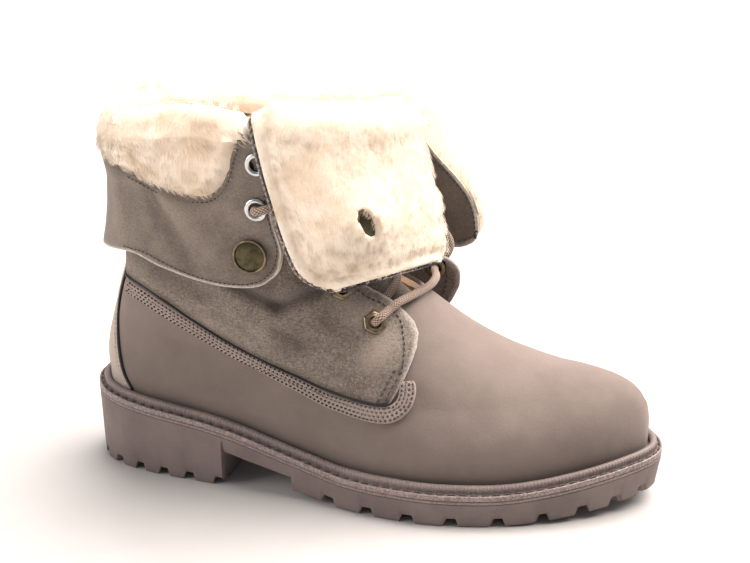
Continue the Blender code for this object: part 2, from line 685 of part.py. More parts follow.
def make_quarter(side, material, where):
    columns, rows = 15, 8
    across, climb = np.linspace(0, 1, columns), np.linspace(0, 1, rows)
    bottom = along_path(rounded(QUARTER["bottom"]), across)
    top = along_path(rounded(QUARTER["top"]), across)
    front = along_path(rounded(QUARTER["front"]), climb)
    flat = coons(bottom, top, np.linspace(bottom[0], top[0], rows), front)
    outer = quarter_point(flat[..., 0], flat[..., 1], side, OVERLAY_GAP + OVERLAY_THICK)
    inner = quarter_point(flat[..., 0], flat[..., 1], side, OVERLAY_GAP)
    return shell("quarter_" + SIDES[side], outer, inner, material, where)


def make_band(side, material, where):
    """Padded band: a low crowned strip laid along its line on the skin."""
    line = along_path(rounded(BAND_LINE), np.linspace(0, 1, 22))
    along = np.gradient(line, axis=0)
    along /= np.linalg.norm(along, axis=1)[:, None]
    across = np.column_stack([-along[:, 1], along[:, 0]])
    section = [(-0.5, 0.25), (-0.36, 0.8), (0.0, 1.0), (0.36, 0.8), (0.5, 0.25), (0.46, 0.0), (-0.46, 0.0)]
    rings = []
    for k, spot in enumerate(line):
        end = min(k, len(line) - 1 - k)
        width = BAND_WIDTH * (0.6 if end == 0 else 0.92 if end == 1 else 1.0)
        ring = []
        for shift, height in section:
            x, z = spot + across[k] * shift * width
            ring.append(offset_point(x, z, side, OVERLAY_GAP + height * BAND_THICK))
        rings.append(ring)
    return loft("band_" + SIDES[side], rings, material, where)


# ---------------------------------------------------------------- cuff and tongue
def cuff_point(side, share, z, inset):
    """A point of the turned-down cuff: share 0 is the middle of the back, 1 its front edge."""
    name = SIDES[side]
    start = smooth(CUFF_BACK, z) + inset
    front = smooth(CUFF_FRONT[name], z)
    x = start + (front - start) * share
    reach = np.clip((x - start) / (CUFF_ROUND - inset), 0, 1)
    half = (smooth(CUFF_HALF, z) - inset) * (1 - (1 - reach) ** 2.3) ** (1 / 2.3)
    if side == 2:
        half = half + 7.0 * ease(60, 125, x) * ease(172, 125, z)
        x = x + MOUTH_SKEW * ease(28, 98, x)
    return np.stack([x, half if side == 2 else -half, z + 0 * x], -1)


def cuff_side(side, columns, rows):
    """Outer and inner grids of one side of the cuff, from its hem over the roll to the mouth."""
    name = SIDES[side]
    share = (1 - np.cos(np.linspace(0, math.pi, columns))) / 2
    hem, edge = CUFF_HEM[name], COLLAR_EDGE[name]
    hem_x = hem[0, 0] + (hem[-1, 0] - hem[0, 0]) * share
    low = smooth(hem, hem_x)
    last = 92.0 if side == 1 else 96.0
    shaft = smooth(edge[edge[:, 0] <= last], 20.5 + (last - 20.5) * share)
    top = shaft + CUFF_ROLL
    outer, inner = [], []
    for climb in np.linspace(0, 1, rows):
        z = low + (top - 12 - low) * climb
        outer.append(cuff_point(side, share, z, 0.0 * share))
        thick = 4.6 + (8.2 - 4.6) * ease(0.1, 0.7, climb)
        inner.append(cuff_point(side, share, low + (shaft + CUFF_SEAT - low) * climb, thick + 0 * share))
    for inset, drop in ((1.4, 6.0), (4.6, 1.4), (8.6, 0.0), (12.6, 1.4), (15.6, 5.5)):
        outer.append(cuff_point(side, share, top - drop, inset + 0 * share))
    for inset in (10.2, 12.2, 14.4, 15.6):
        inner.append(cuff_point(side, share, shaft + CUFF_SEAT, inset + 0 * share))
    inner.insert(rows, cuff_point(side, share, shaft + CUFF_SEAT, 8.4 + 0 * share))
    return np.array(outer), np.array(inner)


def make_cuff(material, where):
    pairs = [cuff_side(side, 17, 6) for side in (1, 2)]
    outer, inner = [np.concatenate([medial[:, :0:-1], lateral], axis=1)
                    for lateral, medial in zip(pairs[0], pairs[1])]
    return shell("cuff", outer, inner, material, where)


def tongue_row(row, shares):
    """Points across the tongue at one row of its table."""
    x, y, z, turn, half, bow, dip, tilt = row[:8]
    turn, dip = math.radians(turn), math.radians(dip)
    across = np.array([math.sin(turn), math.cos(turn), 0])
    fall = np.array([-across[1] * math.cos(dip), across[0] * math.cos(dip), -math.sin(dip)])
    points = np.array([x, y, z]) + shares[:, None] * half * across + (shares ** 2)[:, None] * bow * fall
    points[:, 2] -= shares * tilt
    return points


def tongue_rows(count):
    """The tongue's table read at even steps along its length, and how far each step is from the flap's end."""
    length = np.r_[0, np.cumsum(np.linalg.norm(np.diff(TONGUE[:, :3], axis=0), axis=1))]
    table = np.column_stack([length, TONGUE])
    at = np.linspace(0, length[-1], count)
    return np.column_stack([smooth(table, at, 0, k + 1) for k in range(TONGUE.shape[1])]), length[-1] - at


def make_tongue(material, where):
    columns, rows = 11, 25
    table, left = tongue_rows(rows)
    shares = np.linspace(-1, 1, columns)
    grid = []
    for row, rest in zip(table, left):
        lost = max(0.0, 1 - math.sqrt(max(0.0, 1 - max(0.0, 1 - rest / FLAP_CORNER) ** 2))) * FLAP_CORNER
        grid.append(tongue_row(row, shares * (1 - lost / row[4])))
    grid = np.array(grid)
    out = normals_of(grid, wrap=False)
    if out[0, columns // 2, 2] < 0:
        out = -out
    edge = 1 - 0.55 * np.abs(shares) ** 6
    thick = table[:, 8][:, None] * edge[None]
    thick[-1] *= 0.5
    thick = thick[..., None]
    return shell("tongue", grid + out * thick / 2, grid - out * thick / 2, material, where)


# ---------------------------------------------------------------- hardware and laces
def seat(piece, point, out):
    """The nearest place on a piece's own facets to a point of table millimetres, and their outward direction."""
    tree = BVHTree.FromPolygons([v.co for v in piece.data.vertices], [p.vertices for p in piece.data.polygons])
    found, direction = tree.find_nearest(place(point))[:2]
    direction = np.array(direction)
    if direction @ out < 0:
        raise ValueError("the nearest facet faces away: " + piece.name)
    return np.array(found) / MM + (ORIGIN_X, 0, 0), direction


def turned(name, profile, closed, point, out, material, where):
    """A turned piece: a profile of radius and height with a Screw modifier, set on a surface."""
    count = len(profile)
    edges = [(k, (k + 1) % count) for k in range(count if closed else count - 1)]
    mesh = bpy.data.meshes.new(name)
    mesh.from_pydata([(radius * MM, 0.0, height * MM) for radius, height in profile], edges, [])
    mesh.materials.append(material)
    made = bpy.data.objects.new(name, mesh)
    made.location = place(point)
    made.rotation_mode = "QUATERNION"
    made.rotation_quaternion = Vector(out).to_track_quat("Z", "Y")
    where.objects.link(made)
    screw = made.modifiers.new("Turn", "SCREW")
    screw.steps = screw.render_steps = TURN_STEPS
    screw.use_merge_vertices = True
    screw.merge_threshold = 0.001 * MM
    screw.use_normal_flip = True


def make_ring(name, spot, material, where):
    """A round eyelet that lies on the cuff."""
    low, high = EYELET_LIFT, EYELET_LIFT + EYELET_THICK
    profile = [(RING_HOLE, low), (RING_RADIUS, low), (RING_RADIUS, high - 0.5), (RING_RADIUS - 0.6, high),
               (RING_HOLE, high)]
    turned(name, profile, True, *spot, material, where)


def make_snap(name, spot, material, where):
    """A snap's cap: a raised rim round a low dome."""
    low, high = SNAP_LIFT, SNAP_LIFT + SNAP_THICK
    profile = [(0.0, low), (SNAP_RADIUS - 0.6, low), (SNAP_RADIUS, high - 1.3), (SNAP_RADIUS - 0.8, high),
               (SNAP_RADIUS - 1.4, high - 0.4), (SNAP_RADIUS * 0.4, high - 0.2), (0.0, high - 0.15)]
    turned(name, profile, False, *spot, material, where)


def make_hex(name, spot, material, where):
    """A hexagonal eyelet of the throat: six flats outside and a round hole."""
    point, out = spot
    right = np.cross((0, 0, 1), out)
    right /= np.linalg.norm(right)
    up = np.cross(out, right)
    turns = np.arange(TURN_STEPS) * 2 * math.pi / TURN_STEPS
    flat = math.pi / 3
    outside = HEX_APOTHEM / np.cos((turns + flat / 2) % flat - flat / 2)
    hole = np.full(TURN_STEPS, HEX_HOLE)
    rings = []
    for reach, height in ((outside, 0.0), (outside, EYELET_THICK * 0.7), (outside - 0.5, EYELET_THICK),
                          (hole, EYELET_THICK), (hole, 0.0)):
        centre = point + out * (HEX_LIFT + height)
        rings.append(centre + reach[:, None] * (np.cos(turns)[:, None] * right + np.sin(turns)[:, None] * up))
    loft(name, np.swapaxes(np.array(rings), 0, 1), material, where, closed_path=True)


def lace_end(spot, towards, height=LACE_RISE):
    """The lace's first steps out of an eyelet: straight up through its hole, then bent over its rim."""
    point, out = spot
    along = np.asarray(towards, float) - point
    along -= out * (along @ out)
    along /= np.linalg.norm(along)
    return [point + out * LACE_START, point + out * (height - 2.6), point + out * (height - 0.9) + along * 0.8,
            point + out * height + along * 2.8]


def make_cord(name, route, material, where):
    """A run of lace: a bevelled curve with filled caps."""
    points = place(rounded(np.array(route, float), 2 * (len(route) - 1)))
    curve = bpy.data.curves.new(name, "CURVE")
    curve.dimensions = "3D"
    curve.bevel_depth = LACE_RADIUS * MM
    curve.bevel_resolution = 1
    curve.use_fill_caps = True
    spline = curve.splines.new("POLY")
    spline.points.add(len(points) - 1)
    for spot, point in zip(spline.points, points):
        spot.co = (*point, 1.0)
    curve.materials.append(material)
    where.objects.link(bpy.data.objects.new(name, curve))


def make_laces(hexes, rings, material, where):
    """The lace's free runs; its hidden lengths inside the boot are left out."""
    over_vamp = [(153.6, -26.4, 96.2), (156.8, -22.2, 98.6), (161.0, -12.5, 98.9), (165.6, 4.0, 98.0),
                 (166.6, 14.0, 97.8), (165.8, 21.0, 97.4), (163.9, 26.0, 97.8), (163.5, 28.8, 98.1)]
    make_cord("lace_bar_1", lace_end(hexes["lateral"][0], over_vamp[0]) + over_vamp, material, where)
    under_edge = [(148.8, -14.9, 96.9), (149.6, -12.6, 97.9), (151.4, -6.0, 100.3), (151.2, 1.0, 102.6),
                  (148.3, 7.0, 103.8), (145.0, 11.5, 104.4), (143.4, 13.6, 104.6)]
    make_cord("lace_bar_2", under_edge, material, where)
    over_throat = [(138.0, -28.0, 113.0), (141.0, -19.0, 117.4), (142.5, -6.0, 118.8), (145.0, 6.0, 117.2),
                   (147.6, 17.0, 113.4), (147.6, 26.5, 109.6), (144.8, 34.5, 104.4)]
    make_cord("lace_bar_3", lace_end(hexes["lateral"][1], over_throat[0]) + over_throat
              + lace_end(hexes["medial"][1], over_throat[-1])[::-1], material, where)
    up_lateral = [(104.0, -53.6, 149.2), (107.6, -50.6, 148.2), (111.5, -47.6, 144.5), (118.5, -43.4, 131.0)]
    make_cord("lace_run_lateral", lace_end(rings["lateral"][0], up_lateral[0]) + up_lateral
              + lace_end(hexes["lateral"][2], up_lateral[-1])[::-1], material, where)
    up_medial = [(168.0, 37.4, 103.4), (169.0, 38.6, 108.0), (166.0, 40.0, 113.0), (159.0, 42.0, 118.0), (150.0, 43.5, 122.0)]
    make_cord("lace_run_medial", lace_end(hexes["medial"][0], up_medial[0]) + up_medial, material, where)


# Side-view places of the eyelets and snaps; the cuff's are height first, then length before the mouth's skew.
HEX_SPOTS = {"lateral": [(146.9, 89.6), (130.6, 105.2), (117.5, 119.0)],
             "medial": [(154.0, 90.0), (134.0, 94.0), (111.0, 116.0)]}
RING_SPOTS = {"lateral": [(147.4, 98.0), (168.2, 98.4)], "medial": [(141.0, 110.0), (160.0, 97.0)]}
SNAP_SPOTS = {"lateral": (125.4, 95.0), "medial": (118.0, 115.0)}


def cuff_spot(side, z, x):
    """Point and outward direction on the cuff's outside; x is measured before the mouth's skew."""
    start, front = float(smooth(CUFF_BACK, z)), float(smooth(CUFF_FRONT[SIDES[side]], z))
    share = (x - start) / (front - start)
    point = cuff_point(side, share, z, 0.0)
    along = cuff_point(side, share + 0.01, z, 0.0) - cuff_point(side, share - 0.01, z, 0.0)
    rise = cuff_point(side, share, z + 1, 0.0) - cuff_point(side, share, z - 1, 0.0)
    return point, np.cross(along, rise) * (1 if side == 1 else -1)


def flap_spot(left, share):
    """Point and outward direction on the flap's pile, from its distance to the flap's end and its place across."""
    table, rest = tongue_rows(80)
    row = abs(rest - left).argmin()
    near = [tongue_row(table[row + k], np.array([share - 0.02, share, share + 0.02])) for k in (-1, 1)]
    out = np.cross(near[1][1] - near[0][1], near[0][2] - near[0][0])
    out /= np.linalg.norm(out)
    return (near[0][1] + near[1][1]) / 2 + out * table[row, 8] / 2, out


def quarter_spot(side, x, z):
    """Point and outward direction on the quarter's outside."""
    height = OVERLAY_GAP + OVERLAY_THICK
    point = quarter_point(x, z, side, height)
    along = quarter_point(x + 3, z, side, height) - quarter_point(x - 3, z, side, height)
    rise = quarter_point(x, z + 3, side, height) - quarter_point(x, z - 3, side, height)
    return point, np.cross(along, rise) * (1 if side == 1 else -1)


def build():
    clear_scene()
    boot = collection("ankle_boot")
    cutters = collection("cutters", shown=False)
    rubber = finish("taupe rubber", (0.17, 0.14, 0.13), 0.75)
    welt_rubber = finish("welt rubber", (0.20, 0.16, 0.14), 0.7)
    nubuck = finish("taupe nubuck", (0.33, 0.27, 0.23), 0.85)
    suede = finish("greige suede", (0.24, 0.20, 0.17), 0.95)
    fleece = finish("cream fleece", (0.85, 0.74, 0.58), 1.0)
    brass = finish("antique brass", (0.36, 0.29, 0.15), 0.4, 1.0)
    silver = finish("bright nickel", (0.75, 0.75, 0.75), 0.25, 1.0)
    lace = finish("braided lace", (0.42, 0.33, 0.30), 0.9)
    make_outsole(rubber, boot, cutters)
    make_welt(welt_rubber, boot)
    make_insole(fleece, boot)
    make_upper(nubuck, boot)
    tongue = make_tongue(fleece, boot)
    cuff = make_cuff(suede, boot)
    hexes, rings = {}, {}
    for side, name in SIDES.items():
        quarter = make_quarter(side, suede, boot)
        make_band(side, nubuck, boot)
        hexes[name] = [seat(quarter, *quarter_spot(side, x, z)) for x, z in HEX_SPOTS[name]]
        rings[name] = [seat(cuff, *cuff_spot(side, z, x)) for z, x in RING_SPOTS[name]]
        for n, spot in enumerate(hexes[name], 1):
            make_hex(f"hex_eyelet_{name}_{n}", spot, brass, boot)
        for n, spot in enumerate(rings[name], 1):
            make_ring(f"cuff_eyelet_{name}_{n}", spot, silver, boot)
        make_snap(f"cuff_snap_{name}", seat(cuff, *cuff_spot(side, *SNAP_SPOTS[name])), brass, boot)
    make_laces(hexes, rings, lace, boot)
    make_snap("tongue_snap", seat(tongue, *flap_spot(*FLAP_SNAP)), brass, boot)


build()
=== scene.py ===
"""Fur-lined lace-up ankle boot, right foot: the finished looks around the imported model.

The frame is in metres with its origin under the heel, +X to the toe, +Y to the inner (medial) side and +Z up.
Tables are in millimetres from the back of the sole, as in the last's drawing; place() makes metres of them.
"""
import math

import bmesh
import bpy
import numpy as np
from bpy.props import FloatProperty, FloatVectorProperty, IntProperty, PointerProperty
from mathutils import Matrix, Vector, noise


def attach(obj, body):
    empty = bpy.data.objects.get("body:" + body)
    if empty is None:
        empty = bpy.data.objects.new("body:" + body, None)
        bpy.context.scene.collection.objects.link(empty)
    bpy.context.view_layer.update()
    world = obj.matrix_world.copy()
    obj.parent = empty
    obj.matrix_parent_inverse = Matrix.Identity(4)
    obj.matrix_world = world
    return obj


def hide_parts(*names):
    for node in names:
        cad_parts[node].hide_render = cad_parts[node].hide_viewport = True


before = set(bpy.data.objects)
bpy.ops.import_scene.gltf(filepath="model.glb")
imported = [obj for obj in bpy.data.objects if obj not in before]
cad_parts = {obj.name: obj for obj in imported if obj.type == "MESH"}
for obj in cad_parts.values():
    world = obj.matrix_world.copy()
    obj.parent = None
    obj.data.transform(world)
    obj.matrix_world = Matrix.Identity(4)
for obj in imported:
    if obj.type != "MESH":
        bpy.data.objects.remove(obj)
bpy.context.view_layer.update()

bl_info = {
    "name": "Fur-lined ankle boot",
    "version": (1, 0, 0),
    "blender": (4, 5, 0),
    "location": "View3D > Sidebar > Boot",
    "description": "Builds the finished pieces of a fur-lined lace-up ankle boot",
    "category": "Add Mesh",
}

# ---------------------------------------------------------------- the last, in mm
MM = 0.001
ORIGIN_X = 36.0          # from the back of the sole to the frame's origin
SOLE_LENGTH = 280.0
SIDES = {1: "lateral", 2: "medial"}
GAP = 0.4                # between parts that are cemented together
HEEL_LENGTH = 74.5
FOREPART_START = 110.0
TOE_SPRING = 8.8         # how far the toe's underside rises
SPRING_START = 192.0
WELT_THICK = 2.4
WELT_WIDTH = 10.4
BEAD_INSET = 2.4
BEAD_RADIUS = 1.75
RIB_PITCH = 1.7          # ribs of the welt's bead
BEAD_HEIGHT = 4.0
FEATHER_INSET = 6.9      # from the rim to the upper's foot
WALL = 5.0               # of the upper with its lining
LEATHER = 2.0            # thickness of the upper's hide
OVERLAY_GAP = 0.75
OVERLAY_THICK = 1.8
THROAT_GAP = 0.8
TOE_SWING = 7.0          # how far the toe leans to the inner side
RIDGE_SWING = 5.0
SHAFT_HALF = 40.5
HEEL_FULL = 70.0
SHOULDER = (2.3, 1.95)   # powers of the upper's cross-section
MOUTH_SKEW = 50.0        # how far the inner side of the mouth is pulled forward
FLAP_LIFT = (3, 7, 9)
FLAP_FORWARD = (10, 3, 3)
CUFF_ROUND = 44.0
CUFF_ROLL = 11.0
CUFF_SEAT = 1.6
FLAP_CORNER = 16.0       # radius of the flap's lower corners
HEX_LIFT = 0.7

# station along the length, half-width on the outer and the inner side
SOLE_PLAN = np.array([(0.03, 21, 19.5), (0.12, 32.6, 32), (0.25, 36.9, 34.5), (0.40, 41, 34.5),
                      (0.55, 49.6, 42), (0.66, 50.4, 47), (0.78, 43.4, 46.5), (0.88, 32.2, 39.5),
                      (0.96, 17.8, 26)])
RIM_HEIGHT = np.array([(0, 39), (75, 31.1), (140, 17), (200, 16.6), (280, 26.3)])
ARCH_HEIGHT = np.array([(74, 18.6), (92, 14.6), (110, 10.6)])
FOREPART_FOOT = np.array([(110, 4.2), (122, 2), (136, 0), (192, 0)])
BACK_LINE = np.array([(38, 6.9), (44.5, 7), (51, 6.2), (60, 7), (75, 10.6), (92, 15.4), (106, 19.2),
                      (125, 21.5), (150, 22), (190, 20)])
RIDGE_LINE = np.array([(100, 330), (112, 190), (120, 150), (130, 128), (140, 115.5), (152, 104.8), (158, 100),
                       (164, 95.4), (172, 89.6), (180, 83.8), (190, 77.8), (200, 72.8), (214, 67.6),
                       (228, 64), (240, 62.4), (250, 60.2), (258, 57.4), (264.6, 54), (269.4, 49.4),
                       (272.2, 44), (273.1, 36.5)])
COLLAR_EDGE = {
    "lateral": np.array([(20.5, 172), (33, 174.8), (48, 177.8), (70, 179.6), (92, 178), (100.5, 160),
                         (112, 138), (124, 121), (136, 109.8), (144.5, 101.2), (150.5, 96.9), (156, 96.2),
                         (160.5, 96), (164, 95.4)]),
    "medial": np.array([(20.5, 172), (34, 168), (50, 166), (70, 168.5), (84, 171), (96, 170),
                        (105, 156), (115, 138), (126, 121.5), (137, 110), (145, 101.4), (150.5, 97.1),
                        (156, 96.2), (160.5, 96), (164, 95.4)]),
}
QUARTER = {
    "bottom": np.array([(25.5, 100.2), (38.4, 97.9), (51.7, 91.7), (64, 84.5), (79, 76.8), (94, 70.5),
                        (108.5, 64.6), (123, 59.4), (138, 56.4), (150.5, 54.9), (158, 55.6)]),
    "front": np.array([(158, 55.6), (161, 61), (164.2, 68.8), (166.3, 76.8), (166.2, 82.4), (163.6, 87),
                       (158.8, 91.4), (153.4, 95.9), (148.6, 99.2), (143.4, 102.4), (135.2, 108.6),
                       (123.4, 119.4), (113, 133.5)]),
    "top": np.array([(25.5, 124), (60, 124.5), (90, 126.5), (104, 129.5), (113, 133.5)]),
}
BAND_LINE = np.array([(25.5, 95.2), (39, 91.6), (58, 82.4), (75, 74.2), (92, 67), (108.5, 60), (125, 53.6),
                      (138, 51.2), (150, 50), (158.4, 50.8), (163.6, 54.6), (165.4, 60), (164.8, 65.5)])
BAND_WIDTH = 7.5
BAND_THICK = 2.6
CUFF_BACK = np.array([(98, 8), (116, 9.4), (126, 11), (138, 12.4), (150, 12.4), (160, 10.8), (168, 11.6),
                      (178, 13), (195, 14.5)])
CUFF_HALF = np.array([(98, 50.8), (130, 49.6), (155, 49.4), (195, 48.6)])
CUFF_FRONT = {
    "lateral": np.array([(100, 110), (127, 109.5), (142, 105.4), (150, 104), (166, 104), (172, 102.6),
                         (177, 97), (182, 90.5), (195, 87.5)]),
    "medial": np.array([(98.0, 131), (112, 131), (129, 127), (141, 119), (153, 109), (166, 101),
                        (176, 95), (195, 92)]),
}
CUFF_HEM = {
    "lateral": np.array([(9, 115.5), (20, 118.5), (35, 120.8), (53, 115.5), (70, 111), (84.5, 109.4),
                         (96, 110.4), (103.5, 114.5), (108, 120.5), (109.5, 128)]),
    "medial": np.array([(9, 115.5), (20, 118), (35, 118.5), (60, 111.5), (85, 105.6), (108, 101.6),
                        (118, 101.2), (125, 103), (129.5, 107.5), (131, 114)]),
}
# x, y, z, turn, half, bow, dip, tilt, thick of the tongue's rows, from under the vamp to the flap's end
TONGUE = np.array([
    (180, 4.5, 74, 0, 11, 4, 66, 0, 3.2),
    (170, 4.2, 81, 0, 12, 4, 66, 0, 3.2),
    (158, 3.2, 90.4, 0, 13, 4.5, 64, 0, 3.2),
    (146, 2, 100.4, 2, 15, 6, 52, 0, 3.2),
    (136.5, 0.5, 110, 7, 18, 9, 36, 0, 3.4),
    (130, -1, 123, 15, 22, 11, 16, 0, 3.8),
    (127.5, -3.5, 139, 24, 27, 11, 0, 0, 4.2),
    (127, -7, 155, 33, 31, 12, 0, 0, 4.6),
    (127, -10.5, 168, 38, 33, 13, 0, 1, 5.5),
    (128, -15, 178, 41, 36.5, 13.5, 0, 3, 7),
    (131.4, -20.5, 184.5, 42, 41.5, 15, 0, 4.5, 9),
    (135.7, -26, 183, 41, 45, 15, 0, 5, 9),
    (138.9, -28, 174, 40, 46, 15, 0, 4, 8.5),
    (143.4, -30, 159, 39, 46, 14.5, 4, 3, 8.5),
    (148.2, -30, 144, 38, 46, 14, 10, 1.5, 8.5),
    (152.4, -28.8, 129.5, 37, 45, 13, 16, 0, 8.5),
    (156, -26, 118, 36, 44.5, 12, 22, 0, 8.5),
    (157.4, -25, 112.5, 36, 43.5, 12, 24, 0, 7),
])

# Soft creases of the hide: from and to in side view, half-width, and how far it falls (rises, if negative).
CREASES = {
    1: [((84, 107), (104, 99), 5, 2), ((104, 99), (122, 105), 4.5, 1.3), ((80, 96), (96, 88), 5, -0.9),
        ((46, 108), (70, 100), 7, 0.9), ((104, 86), (116, 78), 5, 0.8), ((60, 92), (84, 84), 6, -0.6),
        ((126, 92), (140, 82), 5, 0.6), ((170, 60), (184, 44), 7, 0.45), ((186, 64), (200, 46), 8, 0.4)],
    2: [((60, 104), (96, 96), 7, 1.1), ((100, 92), (126, 84), 6, 0.8), ((172, 62), (186, 46), 7, 0.45)],
}


# ---------------------------------------------------------------- small maths
def smooth(table, x, value=1):
    """Reads a table as a smooth curve: cubic pieces whose slopes never overshoot the rows."""
    xs, ys = table[:, 0], table[:, value]
    x = np.clip(np.asarray(x, float), xs[0], xs[-1])
    step = np.diff(xs)
    secant = np.diff(ys) / step
    slope = np.empty_like(ys)
    slope[0], slope[-1] = secant[0], secant[-1]
    product = secant[:-1] * secant[1:]
    mean = (secant[:-1] * step[1:] + secant[1:] * step[:-1]) / (step[:-1] + step[1:])
    limit = 2.5 * np.minimum(abs(secant[:-1]), abs(secant[1:]))
    slope[1:-1] = np.where(product > 0, np.sign(mean) * np.minimum(abs(mean), limit), 0.0)
    i = np.clip(np.searchsorted(xs, x, side="right") - 1, 0, len(xs) - 2)
    t = (x - xs[i]) / step[i]
    return (ys[i] * (1 + 2 * t) * (1 - t) ** 2 + slope[i] * step[i] * t * (1 - t) ** 2 + ys[i + 1] * t * t
            * (3 - 2 * t) + slope[i + 1] * step[i] * t * t * (t - 1))


def ease(low, high, x):
    t = np.clip((x - low) / (high - low), 0, 1)
    return t * t * (3 - 2 * t)


def place(points):
    """Table millimetres to the frame's metres."""
    return (np.asarray(points, float) - (ORIGIN_X, 0, 0)) * MM


def unit(vectors):
    vectors = np.asarray(vectors, float)
    return vectors / np.maximum(np.linalg.norm(vectors, axis=-1)[..., None], 1e-9)


def along_path(points, shares):
    """Points at shares of a path's length."""
    length = np.r_[0, np.cumsum(np.linalg.norm(np.diff(points, axis=0), axis=1))]
    where = np.asarray(shares) * length[-1]
    return np.column_stack([np.interp(where, length, points[:, k]) for k in range(points.shape[1])])


def path_length(points):
    return float(np.linalg.norm(np.diff(points, axis=0), axis=1).sum())


def rounded(points, count=160):
    """A smooth curve through a few points, as Catmull-Rom pieces."""
    points = np.asarray(points, float)
    p = np.vstack([2 * points[0] - points[1], points, 2 * points[-1] - points[-2]])
    out = []
    pieces = len(points) - 1
    each = max(2, count // pieces)
    for i in range(pieces):
        t = np.linspace(0, 1, each, endpoint=i == pieces - 1)[:, None]
        a, b, c, d = p[i:i + 4]
        out.append(0.5 * (2 * b + (c - a) * t + (2 * a - 5 * b + 4 * c - d) * t ** 2 + (3 * b - 3 * c + d - a)
                          * t ** 3))
    return np.vstack(out)


def relax(grid, rounds=160):
    """Evens out the inside of a grid and keeps its border: elliptic smoothing, which leaves no folds."""
    grid = grid.copy()
    for _ in range(rounds):
        across = (grid[1:-1, 2:] - grid[1:-1, :-2]) / 2
        along = (grid[2:, 1:-1] - grid[:-2, 1:-1]) / 2
        a = (along ** 2).sum(-1)[..., None]
        b = (across * along).sum(-1)[..., None]
        c = (across ** 2).sum(-1)[..., None]
        twist = (grid[2:, 2:] - grid[2:, :-2] - grid[:-2, 2:] + grid[:-2, :-2]) / 4
        even = a * (grid[1:-1, 2:] + grid[1:-1, :-2]) + c * (grid[2:, 1:-1] + grid[:-2, 1:-1]) - 2 * b * twist
        grid[1:-1, 1:-1] = even / (2 * (a + c))
    return grid


def refine(grid, times):
    """A grid with more rows and columns between its own, on straight lines in its flat plane."""
    for axis in (0, 1):
        count = grid.shape[axis]
        at = np.linspace(0, count - 1, (count - 1) * times + 1)
        low = np.minimum(at.astype(int), count - 2)
        share = (at - low).reshape([-1 if k == axis else 1 for k in range(3)])
        grid = np.take(grid, low, axis) * (1 - share) + np.take(grid, low + 1, axis) * share
    return grid


def normals_of(grid):
    """Unit normals of a grid of points, by differences along its rows and columns."""
    return unit(np.cross(np.gradient(grid, axis=1), np.gradient(grid, axis=0)))


def ripple(points, size, seed=0.0):
    """Smooth noise from -1 to 1 at points in mm, whose lumps are about size mm across."""
    flat = np.asarray(points, float).reshape(-1, 3) / size
    values = [noise.noise(Vector((x + seed, y - seed, z + 2 * seed))) for x, y, z in flat]
    return np.array(values).reshape(np.shape(points)[:-1])


def line_distance(x, z, start, end):
    """Distance in side view from points to a segment."""
    a, b = np.array(start, float), np.array(end, float)
    along = b - a
    t = np.clip(((x - a[0]) * along[0] + (z - a[1]) * along[1]) / (along @ along), 0, 1)
    return np.hypot(x - a[0] - t * along[0], z - a[1] - t * along[1])


def nearest(points, line):
    """Distance from each point to the nearest of a line's points."""
    flat = np.asarray(points, float).reshape(-1, np.shape(points)[-1])
    best = np.full(len(flat), 1e9)
    for spot in line:
        best = np.minimum(best, ((flat - spot) ** 2).sum(1))
    return np.sqrt(best).reshape(np.shape(points)[:-1])


# ---------------------------------------------------------------- the last's surfaces
def sole_half(x, side):
    t = np.clip(np.asarray(x, float) / SOLE_LENGTH, 0, 1)
    turn = np.arccos(1 - 2 * t)
    rows = np.arccos(1 - 2 * SOLE_PLAN[:, 0])
    table = np.column_stack([rows, SOLE_PLAN[:, side] / np.sin(rows)])
    return smooth(table, turn) * np.sin(turn)


def sole_centre(x):
    return TOE_SWING * np.clip((np.asarray(x, float) / SOLE_LENGTH - 0.6) / 0.4, 0, 1) ** 2


def rim_height(x):
    return smooth(RIM_HEIGHT, x)


def sole_loop(count):
    """The rim seen from above, from the back round the lateral side, and its outward directions."""
    turn = np.arange(count) * 2 * math.pi / count
    x = SOLE_LENGTH * (1 - np.cos(turn)) / 2
    half = np.where(turn < math.pi, -sole_half(x, 1), sole_half(x, 2))
    plan = np.column_stack([x, sole_centre(x) + half])
    along = np.roll(plan, -1, 0) - np.roll(plan, 1, 0)
    return plan, unit(np.column_stack([along[:, 1], -along[:, 0]]))


def inset_edges(distance):
    """The two sides of the rim moved inwards, each a list of points from the back to the toe."""
    plan, out = sole_loop(720)
    moved = plan - out * distance
    back, front = moved[:, 0].argmin(), moved[:, 0].argmax()
    ring = np.roll(moved, -back, axis=0)
    front = (front - back) % len(ring)
    lateral, medial = ring[:front + 1], np.vstack([ring[front:], ring[:1]])[::-1]
    if lateral[len(lateral) // 2, 1] > medial[len(medial) // 2, 1]:
        lateral, medial = medial, lateral
    return lateral, medial


def inset_loop(distance, count):
    """The rim moved inwards, with its points spread evenly again, from the back round the lateral side."""
    lateral, medial = inset_edges(distance)
    low, high = lateral[0, 0], lateral[-1, 0]
    turn = np.arange(count) * 2 * math.pi / count
    x = low + (high - low) * (1 - np.cos(turn)) / 2
    y = np.where(turn < math.pi, np.interp(x, *lateral.T), np.interp(x, *medial.T))
    return np.column_stack([x, y])


FOOT_EDGES = inset_edges(FEATHER_INSET)


def foot_half(x, side):
    edge = FOOT_EDGES[side - 1]
    return np.maximum(np.abs(np.interp(x, *edge.T) - sole_centre(x)), 0.0)


